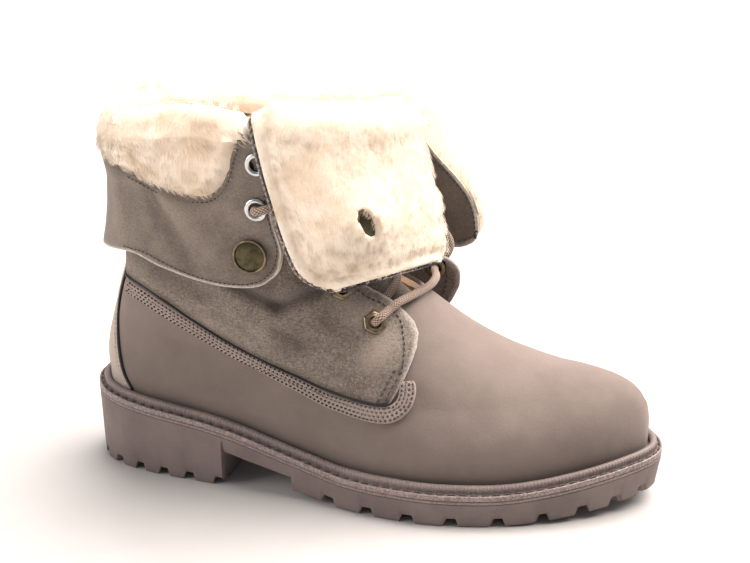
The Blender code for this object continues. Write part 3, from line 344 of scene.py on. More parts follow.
def half_width(x, z, side):
    """Half-width of the upper's outside at length x and height z."""
    x, z = np.broadcast_arrays(np.float64(x), np.float64(z))
    foot = rim_height(x)
    back = smooth(BACK_LINE, z) - FEATHER_INSET
    low = foot_half(x - back * ease(95, 25, x), side)
    low = low + 2.2 * np.sin(np.pi * np.clip((z - foot - 5) / 32.0, 0, 1)) * ease(12, 60, x) * ease(272, 250,
                                                                                                    x)
    full = foot_half(HEEL_FULL, side)
    rise = ease(52, 128, z) * ease(185, 130, x)
    wide = low + (SHAFT_HALF - full) * rise * np.clip(low / full, 0, 1)
    top = smooth(RIDGE_LINE, x)
    share = np.clip((z - foot - 6) / np.maximum(top - foot - 6, 1), 0, 1)
    return wide * (1 - share ** SHOULDER[0]) ** (1 / SHOULDER[1])


def upper_point(x, z, side):
    x, z = np.broadcast_arrays(np.float64(x), np.float64(z))
    top = smooth(RIDGE_LINE, x)
    lean = RIDGE_SWING * np.clip((z - rim_height(x)) / (top - rim_height(x)), 0, 1) ** 2 * ease(110, 165, x)
    sign = -1 if side == 1 else 1
    return np.stack([x, sole_centre(x) + lean + sign * half_width(x, z, side), z], -1)


def side_patch(side, columns, rows):
    """Grid in side view from the upper's foot to its open edge, from the back to the ridge."""
    turn = np.linspace(0, math.pi, columns)
    share = (1 - np.cos(turn)) / 2
    first, last = smooth(BACK_LINE, 40.0), RIDGE_LINE[-1, 0]
    foot_x = first + (last - first) * share
    foot = np.column_stack([foot_x, rim_height(foot_x) + GAP])
    edge = along_path(rounded(COLLAR_EDGE[SIDES[side]]), share)
    climb = np.linspace(0, 1, rows)
    back_z = foot[0, 1] + (edge[0, 1] - foot[0, 1]) * climb
    back = np.column_stack([smooth(BACK_LINE, back_z), back_z])
    ridge_x = np.r_[last, RIDGE_LINE[::-1, 0]]
    ridge_x = ridge_x[ridge_x >= edge[-1, 0]]
    fine = np.interp(np.linspace(0, len(ridge_x) - 1, 200), np.arange(len(ridge_x)), ridge_x)
    ridge = np.column_stack([fine, smooth(RIDGE_LINE, fine)])
    ridge = np.vstack([foot[-1], ridge, [edge[-1, 0], smooth(RIDGE_LINE, edge[-1, 0])]])
    ridge = along_path(ridge, climb)
    return coons(foot, edge, back, ridge, share)


def mouth_skew(x, z, side):
    """How far a point of the collar is pulled forward, as a folded-open boot stands."""
    if side == 1:
        return np.zeros_like(x + z)
    return MOUTH_SKEW * ease(98, 172, z) * ease(28, 98, x)


def skin_normal(x, z, side):
    """Outward direction of the skin, by its squared half-width, whose slopes stay finite at the ridge."""
    step = 0.4

    def square(x, z):
        return half_width(x, z, side) ** 2

    out = np.stack([square(x - step, z) - square(x + step, z),
                    4 * step * half_width(x, z, side) * (-1 if side == 1 else 1),
                    square(x, z - step) - square(x, z + step)], -1)
    stretch = 1 + (mouth_skew(x + step, z, side) - mouth_skew(x - step, z, side)) / (2 * step)
    lean = (mouth_skew(x, z + step, side) - mouth_skew(x, z - step, side)) / (2 * step)
    out[..., 2] -= out[..., 0] * lean / stretch
    out[..., 0] /= stretch
    return unit(out)


def crease(x, z, side):
    """How far the hide falls in its creases."""
    fall = np.zeros(np.broadcast(x, z).shape)
    for start, end, half, depth in CREASES[side]:
        fall = fall + depth * np.exp(-(line_distance(x, z, start, end) / half) ** 2 * 1.4)
    return fall


def skin(x, z, side, offset=0.0):
    """A point of the skin with its creases, moved outwards."""
    x, z = np.broadcast_arrays(np.float64(x), np.float64(z))
    points = upper_point(x, z, side)
    points[..., 0] += mouth_skew(x, z, side)
    return points + skin_normal(x, z, side) * (np.asarray(offset) - crease(x, z, side))[..., None]


def quarter_point(x, z, side, offset):
    """A point of the eyestay over the skin; the inner one's front corner stands off the instep."""
    x, z = np.broadcast_arrays(np.float64(x), np.float64(z))
    height = offset + THROAT_GAP * np.maximum(ease(132, 148, x) * ease(66, 78, z),
                                              ease(96, 110, z) * ease(95, 112, x))
    points = skin(x, z, side, height)
    if side == 2:
        share = ease(138, 164, x)[..., None]
        points = points + share * (ease(68.5, 89, z)[..., None] * np.array(FLAP_FORWARD)
                                   + ease(76, 97, z)[..., None] * np.array(FLAP_LIFT))
    return points


def coons(bottom, top, left, right, shares):
    """Grid between four borders that meet at their ends, evened out; shares are its columns' places."""
    s = shares[None, :, None]
    t = np.linspace(0, 1, len(left))[:, None, None]
    grid = ((1 - t) * bottom[None] + t * top[None] + (1 - s) * left[:, None] + s * right[:, None]
            - (1 - s) * (1 - t) * bottom[0] - s * (1 - t) * bottom[-1]
            - (1 - s) * t * top[0] - s * t * top[-1])
    return relax(grid)


def cuff_point(side, share, z, inset):
    """A point of the turned-down cuff: share 0 is the middle of the back, 1 its front edge."""
    start = smooth(CUFF_BACK, z) + inset
    front = smooth(CUFF_FRONT[SIDES[side]], z)
    x = start + (front - start) * share
    reach = np.clip((x - start) / (CUFF_ROUND - inset), 0, 1)
    half = (smooth(CUFF_HALF, z) - inset) * (1 - (1 - reach) ** 2.3) ** (1 / 2.3)
    if side == 2:
        half = half + 7.0 * ease(60, 125, x) * ease(172, 125, z)
        x = x + MOUTH_SKEW * ease(28, 98, x)
    return np.stack([x, half if side == 2 else -half, z + 0 * x], -1)


def tongue_row(row, shares):
    """Points across the tongue at one row of its table."""
    x, y, z, turn, half, bow, dip, tilt = row[:8]
    turn, dip = math.radians(turn), math.radians(dip)
    across = np.array([math.sin(turn), math.cos(turn), 0])
    fall = np.array([-across[1] * math.cos(dip), across[0] * math.cos(dip), -math.sin(dip)])
    points = np.array([x, y, z]) + shares[:, None] * half * across + (shares ** 2)[:, None] * bow * fall
    points[:, 2] -= shares * tilt
    return points


def tongue_rows(count):
    """The tongue's table at even steps along its length, and how far each step is from the flap's end."""
    length = np.r_[0, np.cumsum(np.linalg.norm(np.diff(TONGUE[:, :3], axis=0), axis=1))]
    table = np.column_stack([length, TONGUE])
    at = np.linspace(0, length[-1], count)
    return np.column_stack([smooth(table, at, k + 1) for k in range(TONGUE.shape[1])]), length[-1] - at


# ---------------------------------------------------------------- nodes and materials
def linear(code):
    """An sRGB hex colour as linear red, green, blue."""
    parts = [int(code[k:k + 2], 16) / 255 for k in (0, 2, 4)]
    return tuple(p / 12.92 if p <= 0.04045 else ((p + 0.055) / 1.055) ** 2.4 for p in parts)


def shade(tone, share):
    """A linear colour made darker or lighter."""
    return tuple(min(1.0, c * share) for c in tone)


def feed(tree, spot, source):
    """Gives an input its source: another node's output, a node for its first output in use, or a value."""
    if isinstance(source, bpy.types.Node):
        source = next(output for output in source.outputs if output.enabled)
    if isinstance(source, bpy.types.NodeSocket):
        tree.links.new(source, spot)
    else:
        spot.default_value = (*source[:3], 1.0) if spot.type == "RGBA" else source


def add(tree, kind, links=None, **settings):
    """Adds a node with its settings; links holds what feeds each input."""
    made = tree.nodes.new(kind)
    for key, value in settings.items():
        setattr(made, key, value)
    for spot, source in (links or {}).items():
        feed(tree, made.inputs[spot], source)
    return made


class Finish:
    """A material in the making: layers of tone that cover one another over a relief.

    A pattern or a share is a node, or the name of a float attribute of the mesh.
    """

    def __init__(self, name, tone, roughness, metallic=0.0, sheen=0.0, specular=0.5, sheen_tint="ffffff"):
        self.made = bpy.data.materials.new(name)
        self.made.use_nodes = True
        self.tree = self.made.node_tree
        self.shader = self.tree.nodes["Principled BSDF"]
        self.tone = tone
        inputs = {"Roughness": roughness, "Metallic": metallic, "Sheen Weight": sheen, "Sheen Roughness": 0.6,
                  "Sheen Tint": linear(sheen_tint), "Specular IOR Level": specular}
        for label, value in inputs.items():
            feed(self.tree, self.shader.inputs[label], value)
        self.coords = add(self.tree, "ShaderNodeTexCoord").outputs["Object"]

    def add(self, kind, links, **settings):
        for spot, source in links.items():
            if isinstance(source, str):
                links[spot] = add(self.tree, "ShaderNodeAttribute", attribute_name=source,
                                  attribute_type="GEOMETRY").outputs["Fac"]
        return add(self.tree, kind, links, **settings)

    def grain(self, size, detail=2.0, rough=0.55, stretch=None):
        """Noise in the object's coordinates whose lumps are about size mm across."""
        coords = self.coords
        if stretch:
            coords = self.add("ShaderNodeMapping", {"Vector": coords, "Scale": stretch})
        return self.add("ShaderNodeTexNoise", {"Vector": coords, "Scale": 1 / (size * MM), "Detail": detail,
                                               "Roughness": rough})

    def span(self, source, low, high, bottom=0.0, top=1.0):
        """Maps a range of a pattern smoothly onto another."""
        return self.add("ShaderNodeMapRange", {"Value": source, "From Min": low, "From Max": high,
                                               "To Min": bottom, "To Max": top},
                        interpolation_type="SMOOTHSTEP")

    def join(self, how, *sources, clamp=False):
        return self.add("ShaderNodeMath", dict(enumerate(sources)), operation=how, use_clamp=clamp)

    def layer(self, share, tone, *limits):
        """Lays a tone over the others; limits map the share before it does so."""
        share = self.span(share, *limits) if limits else share
        self.tone = self.add("ShaderNodeMix", {"Factor": share, 6: self.tone, 7: tone}, data_type="RGBA")

    def close(self, height=None, depth=0.0):
        """Joins the layers, and a relief whose full height is depth mm, to the shader."""
        feed(self.tree, self.shader.inputs["Base Color"], self.tone)
        if height:
            bump = self.add("ShaderNodeBump", {"Height": height, "Distance": depth * MM, "Strength": 1.0})
            feed(self.tree, self.shader.inputs["Normal"], bump)
        return self.made


def hide(name, base, dark, light, nap, cloud, contrast, depth, sheen):
    """Leather with a nap: cloudy tone, short grain, a pale fibrous line along its cut edges, and a painted
    highlight and painted shade laid on by attributes.

    dark and light are shares of the base tone. The real nap is 0.1 mm and less; here it is coarser, to show.
    """
    dark, light = shade(base, dark), shade(base, light)
    made = Finish(name, dark, 0.92, sheen=sheen, specular=0.18, sheen_tint="e9ddd2")
    fine = made.grain(nap, 3.0, 0.7)
    coarse = made.grain(nap * 2.0, 2.0, 0.6, stretch=(1.0, 1.0, 1.7))
    made.layer(made.grain(cloud, 3.0, 0.6), base, 0.32, 0.68)
    made.layer(made.grain(cloud / 4.5, 2.0, 0.6), light, 0.3, 0.75, 0.0, 0.22)
    made.layer(fine, light, 0.42, 0.72, 0.0, contrast)
    made.layer(coarse, dark, 0.56, 0.3, 0.0, contrast)
    # painted highlight: a lighter tone where the mesh's attribute marks light catching the nap; the rubber's
    # same-named share is real scuffing
    made.layer("wear_and_highlight", shade(base, 2.1))
    # painted shade: a darker tone where the mesh's attribute marks shade
    made.layer("painted_shade", shade(base, 0.12))
    made.layer(made.join("MULTIPLY", "rim", made.span(fine, 0.3, 0.7, 0.45, 1.15), clamp=True),
               linear("d6cdc4"))
    return made.close(made.join("ADD", fine, coarse), depth)


def cut_edge():
    """Raw edge of sheepskin: undyed fibres, pale and fuzzy, with the dye's tone in places."""
    made = Finish("raw cut edge of the hide", linear("b3a79c"), 0.95, sheen=0.3, specular=0.1)
    fibres = made.grain(0.6, 3.0, 0.7)
    made.layer(fibres, linear("e6dfd7"), 0.3, 0.7)
    made.layer(made.grain(3.5), linear("a99c90"), 0.5, 0.75, 0.0, 0.5)
    return made.close(fibres, 0.3)


def moulded_rubber(name, base, dark, light, wear_and_highlight):
    """Blown rubber from a mould: dull, with a faint grain, pale scuffs and a lighter band under the welt."""
    made = Finish(name, shade(base, dark), 0.62, specular=0.35)
    scuffs = made.grain(1.6, 4.0, 0.7, stretch=(0.35, 0.35, 2.4))
    speck = made.grain(1.2, 3.0, 0.7)
    made.layer(made.grain(26.0, 3.0), shade(base, light), 0.3, 0.7)
    made.layer(scuffs, shade(base, wear_and_highlight), 0.52, 0.75, 0.0, 0.3)
    made.layer(made.join("MULTIPLY", "band", made.span(speck, 0.4, 0.6, 0.1, 1.0)), shade(base, wear_and_highlight))
    return made.close(made.join("MULTIPLY_ADD", scuffs, 0.25, made.join("MULTIPLY", speck, "band")), 0.35)


def welt_rubber(base):
    """Extruded welt: satin, with fine ribs across its bead and a stippled ledge."""
    made = Finish("extruded welt rubber", shade(base, 0.9), 0.5, specular=0.4)
    speck = made.grain(1.1, 3.0, 0.7)
    made.layer(made.grain(18.0, 3.0), shade(base, 1.1), 0.3, 0.7)
    made.layer(made.join("MULTIPLY", "band", made.span(speck, 0.42, 0.6)), shade(base, 2.1))
    wave = made.join("SINE", made.join("MULTIPLY", "run", 2 * math.pi / RIB_PITCH))
    ribs = made.join("MULTIPLY", wave, "bead")
    made.layer(ribs, shade(base, 1.6), 0.0, 1.0, 0.0, 0.25)
    return made.close(made.join("MULTIPLY_ADD", ribs, 0.4, speck), 0.16)


def piping():
    """Black bonded leather cord in a seam: nearly black, with a weak satin light along it."""
    made = Finish("black leather piping", linear("0f0e10"), 0.45, specular=0.4)
    wrinkles = made.grain(0.9, 3.0)
    made.layer(wrinkles, linear("262326"))
    return made.close(wrinkles, 0.12)


def pile(name, root, tip, warmth):
    """Sheepskin pile: creamy down to roots of a warmer cream, with tufts a little deeper in tone, and painted
    shade in its hollows and other shaded places.
    """
    made = Finish(name, root, 0.95, sheen=0.6, specular=0.05, sheen_tint="fff4e2")
    tufts = made.grain(3.4, 4.0, 0.65)
    made.layer("along", tip, 0.0, 0.6, 0.3, 1.0)
    made.layer(made.grain(16.0), root, 0.45, 0.75, 0.0, 0.55)
    made.layer(tufts, shade(root, 0.92), 0.45, 0.75, 0.0, 0.4 * warmth)
    made.layer("tint", root, 0.5, 1.0, 0.0, 0.2)
    # painted shade: a dark brown-cream tone where the mesh's attribute marks shade
    made.layer("painted_shade", linear("b9987a"))
    return made.close(tufts, 0.4)


def thread(name, tone, pale):
    """Waxed sewing thread: its plies show as a twist, drawn coarser than they are."""
    made = Finish(name, linear(tone), 0.6, sheen=0.1, specular=0.3)
    twist = made.grain(0.5)
    made.layer(twist, linear(pale), 0.45, 0.75)
    return made.close(twist, 0.1)


def braid(base):
    """Round braided polyester: a painted highlight on each yarn's crown, painted shade in the gaps between
    yarns, and paler flecks.
    """
    # painted shade: the base is the gaps' dark tone; the yarns' lift paints them lighter, up to a painted
    # highlight on their crowns
    made = Finish("braided polyester lace", shade(base, 0.16), 0.68, sheen=0.2, specular=0.3)
    made.layer("lift", base, 0.35, 0.75)
    made.layer("lift", shade(base, 1.7), 0.72, 1.0, 0.0, 0.8)
    made.layer(made.grain(1.0), shade(base, 0.8), 0.5, 0.7, 0.0, 0.35)
    return made.close(made.grain(0.25, 1.0), 0.06)


def plated(name, base, stain, rough, stain_share):
    """Plated metal: polished on the high places, stained in the low ones."""
    made = Finish(name, base, rough, metallic=1.0)
    marks = made.grain(3.0, 4.0, 0.65)
    made.layer(made.join("ADD", "hollow", made.span(marks, 0.35, 0.7, 0.0, stain_share), clamp=True),
               linear(stain))
    feed(made.tree, made.shader.inputs["Roughness"], made.span(marks, 0.3, 0.75, rough * 0.8, rough * 1.5))
    return made.close(made.grain(0.4), 0.02)


def paper_sweep():
    """Matt white paper: even, with a gloss too weak to mirror more than a hint of the sole."""
    made = Finish("matt paper sweep", linear("b7b4b1"), 0.45, specular=0.3)
    made.layer(made.grain(30.0), linear("bdbbb9"))
    return made.close()


# ---------------------------------------------------------------- meshes
def link(piece):
    bpy.context.scene.collection.objects.link(piece)
    return piece


def store(mesh, kind, **facts):
    """Keeps a value for each point of a mesh, one attribute for each name."""
    for name, values in facts.items():
        data = mesh.attributes.new(name, kind, "POINT").data
        data.foreach_set("value" if kind == "FLOAT" else "vector", np.ravel(values).astype(np.float32))


def new_mesh(name, points, faces, finish, facts=None, outward=True, angle=40.0, second=None, second_faces=0):
    """A piece from points in mm; facts are its float attributes, second the finish of its last faces."""
    mesh = bpy.data.meshes.new(name)
    mesh.from_pydata(place(points).tolist(), [], faces)
    store(mesh, "FLOAT", **(facts or {}))
    for used in filter(None, (finish, second)):
        mesh.materials.append(FINISHES[used])
    if second:
        for face in mesh.polygons[len(mesh.polygons) - second_faces:]:
            face.material_index = 1
    build = bmesh.new()
    build.from_mesh(mesh)
    bmesh.ops.remove_doubles(build, verts=build.verts, dist=1e-6)
    if outward:
        bmesh.ops.recalc_face_normals(build, faces=build.faces)
    build.to_mesh(mesh)
    build.free()
    mesh.shade_smooth()
    mesh.set_sharp_from_angle(angle=math.radians(angle))
    return link(bpy.data.objects.new(name, mesh))


def grid_faces(rows, columns, wrap_rows=False, wrap_columns=False, start=0):
    i, j = np.meshgrid(np.arange(rows if wrap_rows else rows - 1),
                       np.arange(columns if wrap_columns else columns - 1), indexing="ij")
    i, j = i.ravel(), j.ravel()
    down, right = (i + 1) % rows, (j + 1) % columns
    return (np.column_stack([i * columns + j, i * columns + right, down * columns + right,
                             down * columns + j]) + start).tolist()


def tube(name, rings, finish, facts=None, closed=False, angle=40.0):
    """A solid through rings of equal count; its ends are capped unless it closes on itself."""
    rings = np.asarray(rings, float)
    rows, columns = rings.shape[:2]
    faces = grid_faces(rows, columns, wrap_rows=closed, wrap_columns=True)
    if not closed:
        faces.append(list(range(columns)))
        faces.append(list(range((rows - 1) * columns, rows * columns)))
    return new_mesh(name, rings.reshape(-1, 3), faces, finish, facts, angle=angle)


def shell(name, outer, inner, finish, facts=None, wrap=False, edge=None, angle=40.0):
    """A closed solid between two grids; edge is the finish of the wall that joins them."""
    rows, columns = outer.shape[:2]
    count = rows * columns
    points = np.vstack([outer.reshape(-1, 3), inner.reshape(-1, 3)])
    faces = grid_faces(rows, columns, wrap_columns=wrap)
    faces += [f[::-1] for f in grid_faces(rows, columns, wrap_columns=wrap, start=count)]
    broad = len(faces)
    last = (rows - 1) * columns
    for j in range(columns if wrap else columns - 1):
        k = (j + 1) % columns
        faces.append((j, count + j, count + k, k))
        faces.append((last + j, last + k, count + last + k, count + last + j))
    if not wrap:
        for i in range(rows - 1):
            a, b = i * columns, (i + 1) * columns
            faces.append((a, b, count + b, count + a))
            a, b = a + columns - 1, b + columns - 1
            faces.append((a, count + a, count + b, b))
    both = {key: np.concatenate([np.ravel(v), np.ravel(v)]) for key, v in (facts or {}).items()}
    return new_mesh(name, points, faces, finish, both, second=edge, second_faces=len(faces) - broad,
                    angle=angle)


def bevel(piece, width):
    """Rounds a piece's sharp edges and keeps the result as its mesh."""
    change = piece.modifiers.new("Rounded edges", "BEVEL")
    change.width = width * MM
    change.segments = 2
    change.limit_method = "ANGLE"
    change.angle_limit = math.radians(50)
    change.harden_normals = False
    keep_result(piece)


def keep_result(piece):
    """Replaces a piece's mesh by what its modifiers make of it."""
    graph = bpy.context.evaluated_depsgraph_get()
    mesh = bpy.data.meshes.new_from_object(piece.evaluated_get(graph))
    piece.modifiers.clear()
    old, piece.data = piece.data, mesh
    bpy.data.meshes.remove(old)


def done(piece, slot, *nodes):
    """The piece rides on the boot's one body and stands for its CAD nodes; slot is not used."""
    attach(piece, "root")
    if nodes:
        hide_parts(*nodes)
    return piece


def circle(count, first, second):
    """Unit steps round a circle, from one direction by way of another."""
    turns = np.arange(count) * 2 * math.pi / count
    return np.cos(turns)[:, None] * first + np.sin(turns)[:, None] * second


def frames(line, lean):
    """Each point of a line, with two directions across it that turn as little as they can."""
    ahead = unit(np.gradient(line, axis=0))
    side = unit(np.cross(ahead[0], lean))
    for spot, way in zip(line, ahead):
        side = unit(side - way * (side @ way))
        yield spot, side, np.cross(way, side)


def revolve(name, profile, seat, finish, steps=48, hollow=None):
    """A turned piece: radius and height in mm round a seat's outward direction; hollow marks stained rows."""
    centre, out = seat
    side = unit(np.cross(out, (0.0, 0.0, 1.0)))
    up = np.cross(side, out)
    rings = [centre + out * height + radius * circle(steps, side, up) for radius, height in profile]
    closed = math.isclose(profile[0][0], profile[-1][0]) and profile[0][0] > 0.01
    if closed:
        rings, profile = rings[:-1], profile[:-1]
    facts = {"hollow": np.repeat(hollow or [0.0] * len(profile), steps)[:len(profile) * steps]}
    return tube(name, rings, finish, facts, closed=closed, angle=35.0)


def seat_of(node, side):
    """Where a CAD eyelet or snap sits: its middle in table mm and its outward direction."""
    spots = np.unique(np.round([v.co[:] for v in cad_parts[node].data.vertices], 6), axis=0) / MM
    spots += (ORIGIN_X, 0, 0)
    centre = (spots.min(0) + spots.max(0)) / 2
    centre = spots.mean(0) if len(spots) > 8 else centre
    out = np.linalg.svd(spots - centre)[2][2]
    if out[1] * (-1 if side == 1 else 1) < 0:
        out = -out
    heights = (spots - centre) @ out
    return centre + out * heights.min(), out


# ---------------------------------------------------------------- what repeats, with Geometry Nodes
NAMED = "GeometryNodeInputNamedAttribute"


def group(name, **inputs):
    """A new geometry tree with its named inputs; returns the tree, what it is given and its end."""
    tree = bpy.data.node_groups.new(name, "GeometryNodeTree")
    tree.interface.new_socket("Geometry", in_out="INPUT", socket_type="NodeSocketGeometry")
    tree.interface.new_socket("Geometry", in_out="OUTPUT", socket_type="NodeSocketGeometry")
    for label, kind in inputs.items():
        tree.interface.new_socket(label, in_out="INPUT", socket_type="NodeSocket" + kind)
    start = tree.nodes.new("NodeGroupInput")
    return tree, start.outputs, tree.nodes.new("NodeGroupOutput")


def turned(tree, up, along, spin):
    """A rotation whose Z follows up and whose X leans to along, spun about its own Z."""
    stand = add(tree, "FunctionNodeAlignRotationToVector", {"Vector": up}, axis="Z")
    face = add(tree, "FunctionNodeAlignRotationToVector", {"Rotation": stand, "Vector": along}, axis="X",
               pivot_axis="Z")
    spun = add(tree, "ShaderNodeCombineXYZ", {"Z": spin})
    return add(tree, "FunctionNodeRotateRotation", {"Rotation": face, "Rotate By": spun},
               rotation_space="LOCAL")


def set_out(tree, end, points, thing, turn, size, finish):
    """Ends a tree: the thing on every point, made real and painted."""
    one = add(tree, "GeometryNodeObjectInfo", {"Object": thing}).outputs["Geometry"]
    placed = add(tree, "GeometryNodeInstanceOnPoints",
                 {"Points": points, "Instance": one, "Rotation": turn, "Scale": size})
    real = add(tree, "GeometryNodeRealizeInstances", {"Geometry": placed})
    feed(tree, end.inputs["Geometry"], add(tree, "GeometryNodeSetMaterial",
                                           {"Geometry": real, "Material": finish}))
    return tree


def stitch_tree():
    """Sets a thread along each line at an even pitch, turned to the line and to its up attribute."""
    tree, given, end = group("Stitch rows", Pitch="Float", Thread="Object", Size="Vector", Lean="Float",
                             Material="Material")
    up = add(tree, NAMED, {"Name": "up"}, data_type="FLOAT_VECTOR")
    curve = add(tree, "GeometryNodeMeshToCurve", {"Mesh": given["Geometry"]})
    even = add(tree, "GeometryNodeResampleCurve", {"Curve": curve, "Length": given["Pitch"]}, mode="LENGTH")
    turn = turned(tree, up, add(tree, "GeometryNodeInputTangent"), given["Lean"])
    return set_out(tree, end, even, given["Thread"], turn, given["Size"], given["Material"])


def pile_tree():
    """Grows locks of pile on a surface: cover thins them, reach sets their length, comb bends them over."""
    tree, given, end = group("Fleece pile", Density="Float", Lock="Object", Length="Float", Spread="Float",
                             Seed="Int", Material="Material")
    seed = given["Seed"]
    cover, reach = [add(tree, NAMED, {"Name": name}) for name in ("cover", "reach")]
    comb, aim = [add(tree, NAMED, {"Name": name}, data_type="FLOAT_VECTOR") for name in ("comb", "aim")]
    sway, vary, tint = [add(tree, "FunctionNodeRandomValue", {2: low, 3: high, "Seed": seed}) for low,
                        high in ((-0.4, 0.4), (0.7, 1.25), (0.0, 1.0))]
    wild = add(tree, "FunctionNodeRandomValue", {0: (-1.0, -1.0, -1.0), 1: (1.0, 1.0, 1.0), "Seed": seed},
               data_type="FLOAT_VECTOR")
    amount = add(tree, "ShaderNodeMath", {0: cover, 1: given["Density"]}, operation="MULTIPLY")
    points = add(tree, "GeometryNodeDistributePointsOnFaces",
                 {"Mesh": given["Geometry"], "Density": amount, "Seed": seed})
    normal = points.outputs["Normal"]
    strewn = add(tree, "ShaderNodeVectorMath", {0: wild, "Scale": given["Spread"]}, operation="SCALE")
    combed = add(tree, "ShaderNodeVectorMath", {0: normal, 1: comb}, operation="ADD")
    aimed = add(tree, "ShaderNodeVectorMath", {0: combed, 1: strewn}, operation="ADD")
    for name, value, kind in (("ground", normal, "FLOAT_VECTOR"), ("aim", aimed, "FLOAT_VECTOR"),
                              ("tint", tint, "FLOAT")):
        points = add(tree, "GeometryNodeStoreNamedAttribute",
                     {"Geometry": points, "Name": name, "Value": value}, data_type=kind, domain="POINT")
    down = add(tree, "ShaderNodeVectorMath", {0: comb, 1: (0.0, 0.0, -0.2)}, operation="ADD")
    size = add(tree, "ShaderNodeMath", {0: vary, 1: reach}, operation="MULTIPLY")
    size = add(tree, "ShaderNodeMath", {0: size, 1: given["Length"]}, operation="MULTIPLY")
    return set_out(tree, end, points, given["Lock"], turned(tree, aim, down, sway), size, given["Material"])


def run_tree(name, holder, tree, inputs):
    """Runs a geometry tree on a mesh with its inputs, and returns the result as a plain piece."""
    piece = link(bpy.data.objects.new(name, holder))
    change = piece.modifiers.new(tree.name, "NODES")
    change.node_group = tree
    names = {s.name: s.identifier for s in tree.interface.items_tree if s.in_out == "INPUT"}
    for label, value in inputs.items():
        change[names[label]] = value
    keep_result(piece)
    return piece


def helper_object(name, build_mesh):
    """A small mesh that trees repeat; it isn't shown itself."""
    return bpy.data.objects.get(name) or bpy.data.objects.new(name, build_mesh())


def thread_mesh(sides=6):
    """One stitch, 1 unit long, wide and high: an arch of thread whose ends dive into the leather."""
    turns = np.arange(sides) * 2 * math.pi / sides
    arch = [(-0.5, -0.75, 0.25), (-0.4, 0.1, 0.42), (-0.12, 0.42, 0.5)]
    arch += [(-x, z, r) for x, z, r in arch[::-1]]
    rings = [np.column_stack([np.full(sides, x), np.cos(turns) * r, z + np.sin(turns) * r]) for x, z,
             r in arch]
    mesh = bpy.data.meshes.new("stitch")
    last = sides * (len(arch) - 1)
    ends = [list(range(sides - 1, -1, -1)), list(range(last, last + sides))]
    mesh.from_pydata(np.vstack(rings).tolist(), [], grid_faces(len(arch), sides, wrap_columns=True) + ends)
    mesh.shade_smooth()
    return mesh


def lock_mesh(strands=6, seed=3, gather=0.7):
    """A lock of pile, 1 unit long: thin blades that bend over along X, broad side up, and end in points."""
    rng = np.random.default_rng(seed)
    points, faces, along = [], [], []
    for _ in range(strands):
        foot = rng.uniform(-0.3, 0.3, 2)
        tip = foot * gather + rng.uniform(-0.14, 0.14, 2)
        bend, tall = rng.uniform(0.02, 0.2), rng.uniform(0.75, 1.05)
        start = len(points)
        for share, half in ((0.0, 0.013), (0.55, 0.018)):
            centre = np.array([*(foot + (tip - foot) * share), tall * share])
            centre[0] += bend * share ** 2
            points += [centre + (-0.01, -half, 0), centre + (-0.01, half, 0), centre + (0.02, 0, 0)]
            along += [share] * 3
        points.append(np.array([tip[0] + bend, tip[1], tall * 0.93]))
        along.append(1.0)
        for k in range(3):
            n = (k + 1) % 3
            faces.append((start + k, start + 3 + k, start + 3 + n, start + n))
            faces.append((start + 3 + k, start + 6, start + 3 + n))
        faces.append((start, start + 1, start + 2))
    mesh = bpy.data.meshes.new("lock")
    mesh.from_pydata([tuple(p) for p in points], [], faces)
    store(mesh, "FLOAT", along=along)
    mesh.shade_smooth()
    return mesh


def stitches(name, rows, finish, pitch, length, width, lean=0.0):
    """Rows of stitches; a row is its points and their outward directions, in table mm."""
    points, edges, ups = [], [], []
    for line, out in rows:
        edges += [(len(points) + k, len(points) + k + 1) for k in range(len(line) - 1)]
        points += list(place(line))
        ups += list(unit(out))
    mesh = bpy.data.meshes.new(name)
    mesh.from_pydata([tuple(p) for p in points], edges, [])
    store(mesh, "FLOAT_VECTOR", up=ups)
    tree = bpy.data.node_groups.get("Stitch rows") or stitch_tree()
    return run_tree(name, mesh, tree, {
        "Pitch": pitch * MM, "Thread": helper_object("stitch", thread_mesh), "Lean": lean,
        "Material": FINISHES[finish], "Size": (length * MM, width * MM, width * MM)})


def combing(grid, along_rows, along_columns):
    """Combing directions on a grid: shares of the way to the next row and to the next column."""
    return (unit(np.gradient(grid, axis=0)) * np.broadcast_to(along_rows, grid.shape[:2])[..., None]
            + unit(np.gradient(grid, axis=1)) * np.broadcast_to(along_columns, grid.shape[:2])[..., None])


def grow_pile(name, grid, facts, comb, density, length, spread, seed, back=False, soften=0.88):
    """Pile on a hidden grid or on its back; its shading follows the grid's, so that it reads as soft."""
    carrier = bpy.data.meshes.new(name)
    faces = [face[::-1] if back else face for face in grid_faces(*grid.shape[:2])]
    carrier.from_pydata(place(grid.reshape(-1, 3)).tolist(), [], faces)
    carrier.shade_smooth()
    store(carrier, "FLOAT", **facts)
    store(carrier, "FLOAT_VECTOR", comb=comb)
    tree = bpy.data.node_groups.get("Fleece pile") or pile_tree()
    piece = run_tree(name, carrier, tree, {
        "Density": density / MM ** 2, "Lock": helper_object("lock", lock_mesh), "Length": length * MM,
        "Spread": spread, "Seed": seed, "Material": FINISHES["pile"]})
    piece.visible_shadow = False     # real wool scatters the light that a solid blade would stop
    mesh = piece.data
    ground, own = np.zeros((2, len(mesh.vertices) * 3), np.float32)
    mesh.attributes["ground"].data.foreach_get("vector", ground)
    mesh.vertices.foreach_get("normal", own)
    mixed = unit(ground.reshape(-1, 3) * soften + own.reshape(-1, 3) * (1 - soften))
    mesh.normals_split_custom_set_from_vertices(mixed.tolist())
    done(piece, "fleece")


# ---------------------------------------------------------------- sizes and colours
def size(label, told, metres, least):
    """A length in metres that can be changed."""
    return FloatProperty(name=label, description=told, default=metres, min=least, unit="LENGTH")


def colour(label, told, code):
    """A colour property whose default is an sRGB hex colour."""
    return FloatVectorProperty(name=label, description=told, subtype="COLOR", size=3, min=0.0, max=1.0,
                               default=linear(code))


